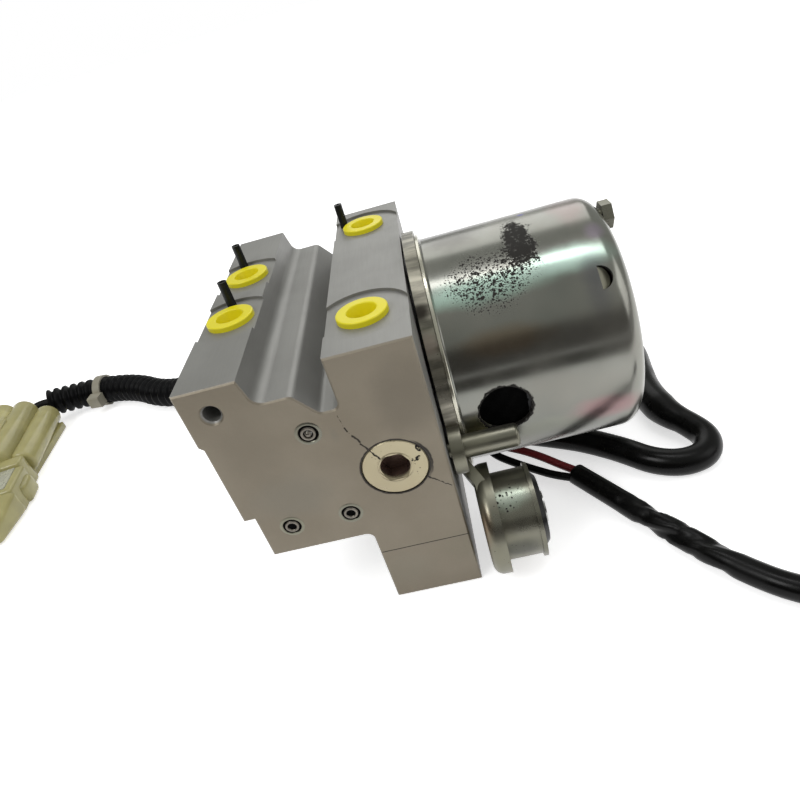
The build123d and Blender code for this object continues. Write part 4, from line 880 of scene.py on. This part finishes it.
def sweep(name, line, radius_at, sides, material, ends=()):
    """A closed tube along the line, with radii in millimetres. Ends adds (back, radius) rings."""
    neighbours = zip([line[0]] + line[:-1], line[1:] + [line[-1]])
    ways = [(after - before).normalized() for before, after in neighbours]
    angles = [2 * math.pi * k / sides for k in range(sides)]
    side = ways[0].orthogonal().normalized()
    rings = []
    for number, (point, way) in enumerate(zip(line, ways)):
        side = (side - way * side.dot(way)).normalized()
        up = way.cross(side)
        share = number / (len(line) - 1)
        outward = [(a, side * math.cos(a) + up * math.sin(a)) for a in angles]
        rings.append([point + out * (radius_at(share, a) * MM) for a, out in outward])
    for back, radius in ends:
        place = line[-1] - ways[-1] * (back * MM)
        rings.append([place + out * (radius * MM) for a, out in outward])
    vertices = [v for ring in rings for v in ring]
    faces = []
    for start in range(0, (len(rings) - 1) * sides, sides):
        for k in range(sides):
            after = (k + 1) % sides
            faces.append((start + k, start + after, start + sides + after, start + sides + k))
    faces.append(tuple(reversed(range(sides))))
    faces.append(tuple((len(rings) - 1) * sides + k for k in range(sides)))
    mesh = bpy.data.meshes.new(name)
    mesh.from_pydata([tuple(v) for v in vertices], [], faces)
    mesh.materials.append(material)
    mesh.shade_smooth()
    made = bpy.data.objects.new(name, mesh)
    bpy.context.scene.collection.objects.link(made)
    print(name, len(faces), "faces")
    return made

# %% [markdown]
# A plain cord stays a curve with a round bevel. One with ribs, folds or a sleeve is a tube whose
# radius changes along the same spline, so its middle line is still the route of the solid.


# %% Two kinds of cord
def tube_cord(name, points, diameter, material, node, radius_at, step=0.8, ends=(), **facts):
    line, length = route_line(points, step)
    cord = sweep(name, line, radius_at, 28, material, ends)
    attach(cord, "unit")
    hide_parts(node)


def smooth_cord(name, points, diameter, material, node, length, **facts):
    curve = bpy.data.curves.new(name, "CURVE")
    curve.dimensions = "3D"
    curve.bevel_depth = diameter / 2 * MM
    curve.bevel_resolution = 8
    curve.resolution_u = 10
    curve.use_fill_caps = True
    spline = curve.splines.new("NURBS")
    spline.points.add(len(points) - 1)
    for control, point in zip(spline.points, points):
        control.co = (*at(*point), 1.0)
    spline.order_u = 3
    spline.use_endpoint_u = True
    cord = bpy.data.objects.new(name, curve)
    bpy.context.scene.collection.objects.link(cord)
    curve.materials.append(material)
    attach(cord, "unit")
    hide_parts(node)

# %% [markdown]
# The routes are control points in millimetres, read on the plane where each cord lies: the floor
# for most of them. What the object hides is carried on in the same smooth way.

# %% Routes
gland = (-74.7, 31.5, 53.4)
conduit_points = [
    gland,
    (-74.7, 48.1, 53.4),
    (-77.7, 64.1, 50.1),
    (-83.4, 78.3, 43.4),
    (-91.7, 89.6, 34.8),
    (-102.3, 97.7, 25.4),
    (-115.5, 102.2, 16.6),
    (-130.7, 103.4, 10.6),
    (-146.6, 106.5, 8.3),
    (-161.7, 113.3, 8.1),
    (-174.0, 123.5, 8.1),
    (-188.5, 130.8, 8.1),
    (-204.0, 134.0, 8.5),
    (-219.6, 133.1, 9.6),
    (-234.0, 128.2, 11.8),
]
red_points = [
    (15.6, -3.6, 14.4),
    (15.9, -4.0, 11.4),
    (19.0, -5.8, 9.4),
    (25.0, -9.2, 8.6),
    (31.4, -13.6, 7.0),
    (38.0, -18.6, 4.6),
    (42.37, -22.173, 3.9),
]
black_points = [
    (11.6, -4.0, 14.4),
    (11.8, -4.6, 10.8),
    (14.6, -7.2, 7.6),
    (20.0, -11.2, 6.0),
    (27.0, -16.8, 5.0),
    (34.4, -22.2, 4.2),
    (40.2, -24.8, 3.9),
]
sleeve_points = [
    (41.0, -23.0, 3.9),
    (47.4, -33.6, 3.9),
    (53.2, -43.4, 3.8),
    (58.4, -52.2, 3.8),
    (63.4, -59.6, 3.8),
    (68.6, -68.0, 3.8),
    (74.8, -76.4, 3.8),
    (82.6, -84.6, 3.8),
    (92.6, -90.4, 3.8),
    (104.0, -92.4, 3.8),
]
hose_points = [
    (0.0, 12.0, 5.0),
    (11.0, 12.0, 5.0),
    (24.0, 8.0, 4.9),
    (37.0, 0.6, 4.8),
    (48.6, -6.6, 4.8),
    (60.0, -17.0, 4.8),
    (67.4, -26.2, 4.8),
    (76.6, -30.4, 4.8),
    (85.6, -28.4, 4.8),
    (89.2, -20.4, 5.0),
    (85.6, -12.0, 5.8),
    (81.0, -4.0, 6.2),
    (79.2, 5.0, 6.2),
    (79.0, 14.6, 6.2),
    (80.6, 25.4, 6.2),
    (83.0, 38.0, 6.2),
    (83.6, 52.0, 6.2),
    (77.6, 69.0, 6.2),
    (63.6, 78.8, 6.2),
    (46.0, 84.4, 5.6),
    (28.0, 86.4, 4.9),
    (10.0, 85.8, 4.8),
    (-6.0, 80.6, 4.9),
    (-14.0, 69.6, 5.0),
    (-14.0, 57.0, 5.0),
]
rubber = finishes["black_rubber"]

# %% [markdown]
# Three cords aren't round all along. The conduit has ribs, the sleeve over the leads is crumpled,
# and the hose carries a thicker sleeve. A function of the share along and the angle says so.


# %% Sections along the cords
def ribbed(share, angle):
    """Round ribs and narrow grooves, 47 of them along the conduit."""
    wave = math.cos(2 * math.pi * share * 47)
    return 7.15 + 0.85 * max(-1.0, min(1.0, 1.4 * wave + 0.15))


def crumpled(share, angle):
    """A round sleeve that is pinched and folded over its middle."""
    fold = max(0.0, 1 - abs(share - 0.42) / 0.21) ** 0.6
    flat = max(0.0, math.sin(angle * 2 + share * 24)) ** 1.3
    crease = max(0.0, math.sin(share * 64 + angle + 1.0)) ** 4
    return 3.85 - fold * (1.6 * flat + 0.5 * crease - 0.2)


def swollen(share, angle):
    """The hose, with a thicker sleeve on it from its loop to behind the can."""
    if share < 0.38 or share > 0.72:
        return 4.8
    return 4.8 + 1.35 * min(1.0, (share - 0.38) / 0.035, (0.72 - share) / 0.004)

# %% The cords
tube_cord(
    "conduit_tube", conduit_points, 16.0, finishes["black_plastic"], "conduit", ribbed,
    ends=[(0.0, 6.2), (6.0, 6.0)], far_end="connector", stiffness="limp",
    with_pieces=["cable_tie", "harness_wiring"] + housing_pieces + plug_pieces,
)
smooth_cord(
    "red_lead", red_points, 3.0, finishes["red_insulation"], "lead_red", 36.5,
    far_end="object", stiffness="limp", lay="taut",
)
smooth_cord(
    "black_lead", black_points, 3.0, rubber, "lead_black", 40,
    far_end="object", stiffness="limp", lay="taut",
)
tube_cord(
    "sleeved_leads", sleeve_points, 7.6, rubber, "lead_sleeve", crumpled,
    step=1.0, far_end="plug", with_pieces=["lead_plug"],
)
tube_cord(
    "vent_hose", hose_points, 9.6, rubber, "breather_hose", swollen,
    step=1.2, far_end="object", stiffness="stiff",
)

# %% [markdown]
# The camera stands where the photographer stood. It was solved from the edges of the block and
# the round outlines of the motor, as three rows: right, down and forward.

# %% Camera
FOCAL_PIXELS = 626.6534
PICTURE_PIXELS = 800
right, down, forward = (
    Vector((0.96549443, -0.04553395, -0.2564121)),
    Vector((-0.23757047, -0.55733124, -0.79557662)),
    Vector((-0.10668073, 0.82904074, -0.54891773)),
)
camera_data = bpy.data.cameras.new("photo_camera")
camera = bpy.data.objects.new("photo_camera", camera_data)
bpy.context.scene.collection.objects.link(camera)
pose = Matrix((right, -down, -forward)).transposed().to_4x4()
pose.translation = at(9.763, -193.963, 166.798)
camera.matrix_world = pose
camera_data.sensor_width = 36.0
camera_data.lens = camera_data.sensor_width * FOCAL_PIXELS / PICTURE_PIXELS
camera_data.clip_start = 0.005
bpy.context.scene.camera = camera

# %% [markdown]
# A pale floor keeps a soft shadow, and it glows white only for the camera and for mirrored rays.
# Far in front of the object the shiny rays meet a dark table edge, which darkens the can's side.

# %% Floor
def ray_kinds(tree):
    """The light path's outputs, and a mask of the rays that see or mirror the backdrop."""
    paths = add_node(tree, "ShaderNodeLightPath").outputs
    kinds = ("Camera", "Glossy", "Transmission")
    return paths, biggest(tree, *(paths[f"Is {kind} Ray"] for kind in kinds))


bpy.ops.object.select_all(action="DESELECT")
bpy.ops.mesh.primitive_plane_add(size=60.0, location=(0, 0, -0.0002))
floor = bpy.context.object
floor.name = "floor"
FLOOR_WHITE = (0.93, 0.93, 0.93)
floor_paint, tree, shader, coords = start_material("floor_paint", roughness=0.9, colour=FLOOR_WHITE)
paths, seen = ray_kinds(tree)
glow = add_node(tree, "ShaderNodeEmission", {"Color": (1, 1, 1, 1), "Strength": 0.6})
table_end = soft_step(tree, axis_value(tree, coords, "Y"), -0.24, -0.34)
table_end = times(tree, table_end, paths["Is Glossy Ray"])
beyond = add_node(tree, "ShaderNodeEmission", {"Color": (1.0, 0.85, 0.65, 1), "Strength": 0.05})
both = add_node(tree, "ShaderNodeAddShader", {0: shader.outputs[0], 1: glow.outputs[0]})
lit, bright, dark = shader.outputs[0], both.outputs[0], beyond.outputs[0]
table = add_node(tree, "ShaderNodeMixShader", {0: table_end, 1: bright, 2: dark})
chosen = add_node(tree, "ShaderNodeMixShader", {0: seen, 1: lit, 2: table.outputs[0]})
tree.links.new(chosen.outputs[0], tree.nodes["Material Output"].inputs["Surface"])
floor.data.materials.append(floor_paint)

# %% [markdown]
# The world is a soft white room. Polished metal needs something dark to mirror, so shiny rays
# meet a grey room with a dark lower front, as the camera's side of a real studio has.

# %% World
world = bpy.data.worlds.new("studio")
bpy.context.scene.world = world
world.use_nodes = True
tree = world.node_tree
paths, seen = ray_kinds(tree)
strength = between(tree, seen, 0.45, 1.0)
ray_way = add_node(tree, "ShaderNodeTexCoord").outputs["Generated"]
way = add_node(tree, "ShaderNodeSeparateXYZ", {0: ray_way}).outputs
low_part = soft_step(tree, way[2], 0.58, 0.4)
low_part = times(tree, low_part, soft_step(tree, way[1], 0.02, -0.12))
overhead = soft_step(tree, way[2], 0.93, 0.985)
room = mix_colour(tree, overhead, (0.42, 0.43, 0.4, 1), (1, 1, 1, 1))
room = mix_colour(tree, low_part, room, (0.045, 0.038, 0.028, 1))
in_room = times(tree, soft_step(tree, way[2], 0.0, 0.08), paths["Is Glossy Ray"])
background = tree.nodes["Background"].inputs
tree.links.new(mix_colour(tree, in_room, (1, 1, 1, 1), room), background["Color"])
tree.links.new(strength, background["Strength"])

# %% [markdown]
# Four area lamps stay weak, so that the painted colours come out as written. The long one lies
# over the can and gives its bright streak.


# %% Lamps
def lamp(name, place, target, size, power, width=None):
    data = bpy.data.lights.new(name, "AREA")
    data.size = size
    if width:
        data.shape = "RECTANGLE"
        data.size_y = width
    data.energy = power
    made = bpy.data.objects.new(name, data)
    bpy.context.scene.collection.objects.link(made)
    made.location = place
    made.rotation_euler = (Vector(target) - Vector(place)).to_track_quat("-Z", "Y").to_euler()


lamp("key_lamp", (-0.45, -0.4, 0.75), (0, 0, 0.05), 0.35, 2.4)
lamp("long_lamp", (0.05, 0.06, 0.85), (0.03, 0, 0.05), 0.7, 1.1, width=0.1)
lamp("fill_lamp", (0.7, -0.3, 0.45), (0, 0, 0.05), 0.5, 1.2)
lamp("back_lamp", (0.1, 0.8, 0.6), (0, 0, 0.05), 0.6, 1.6)

bpy.context.scene.view_settings.view_transform = "Standard"
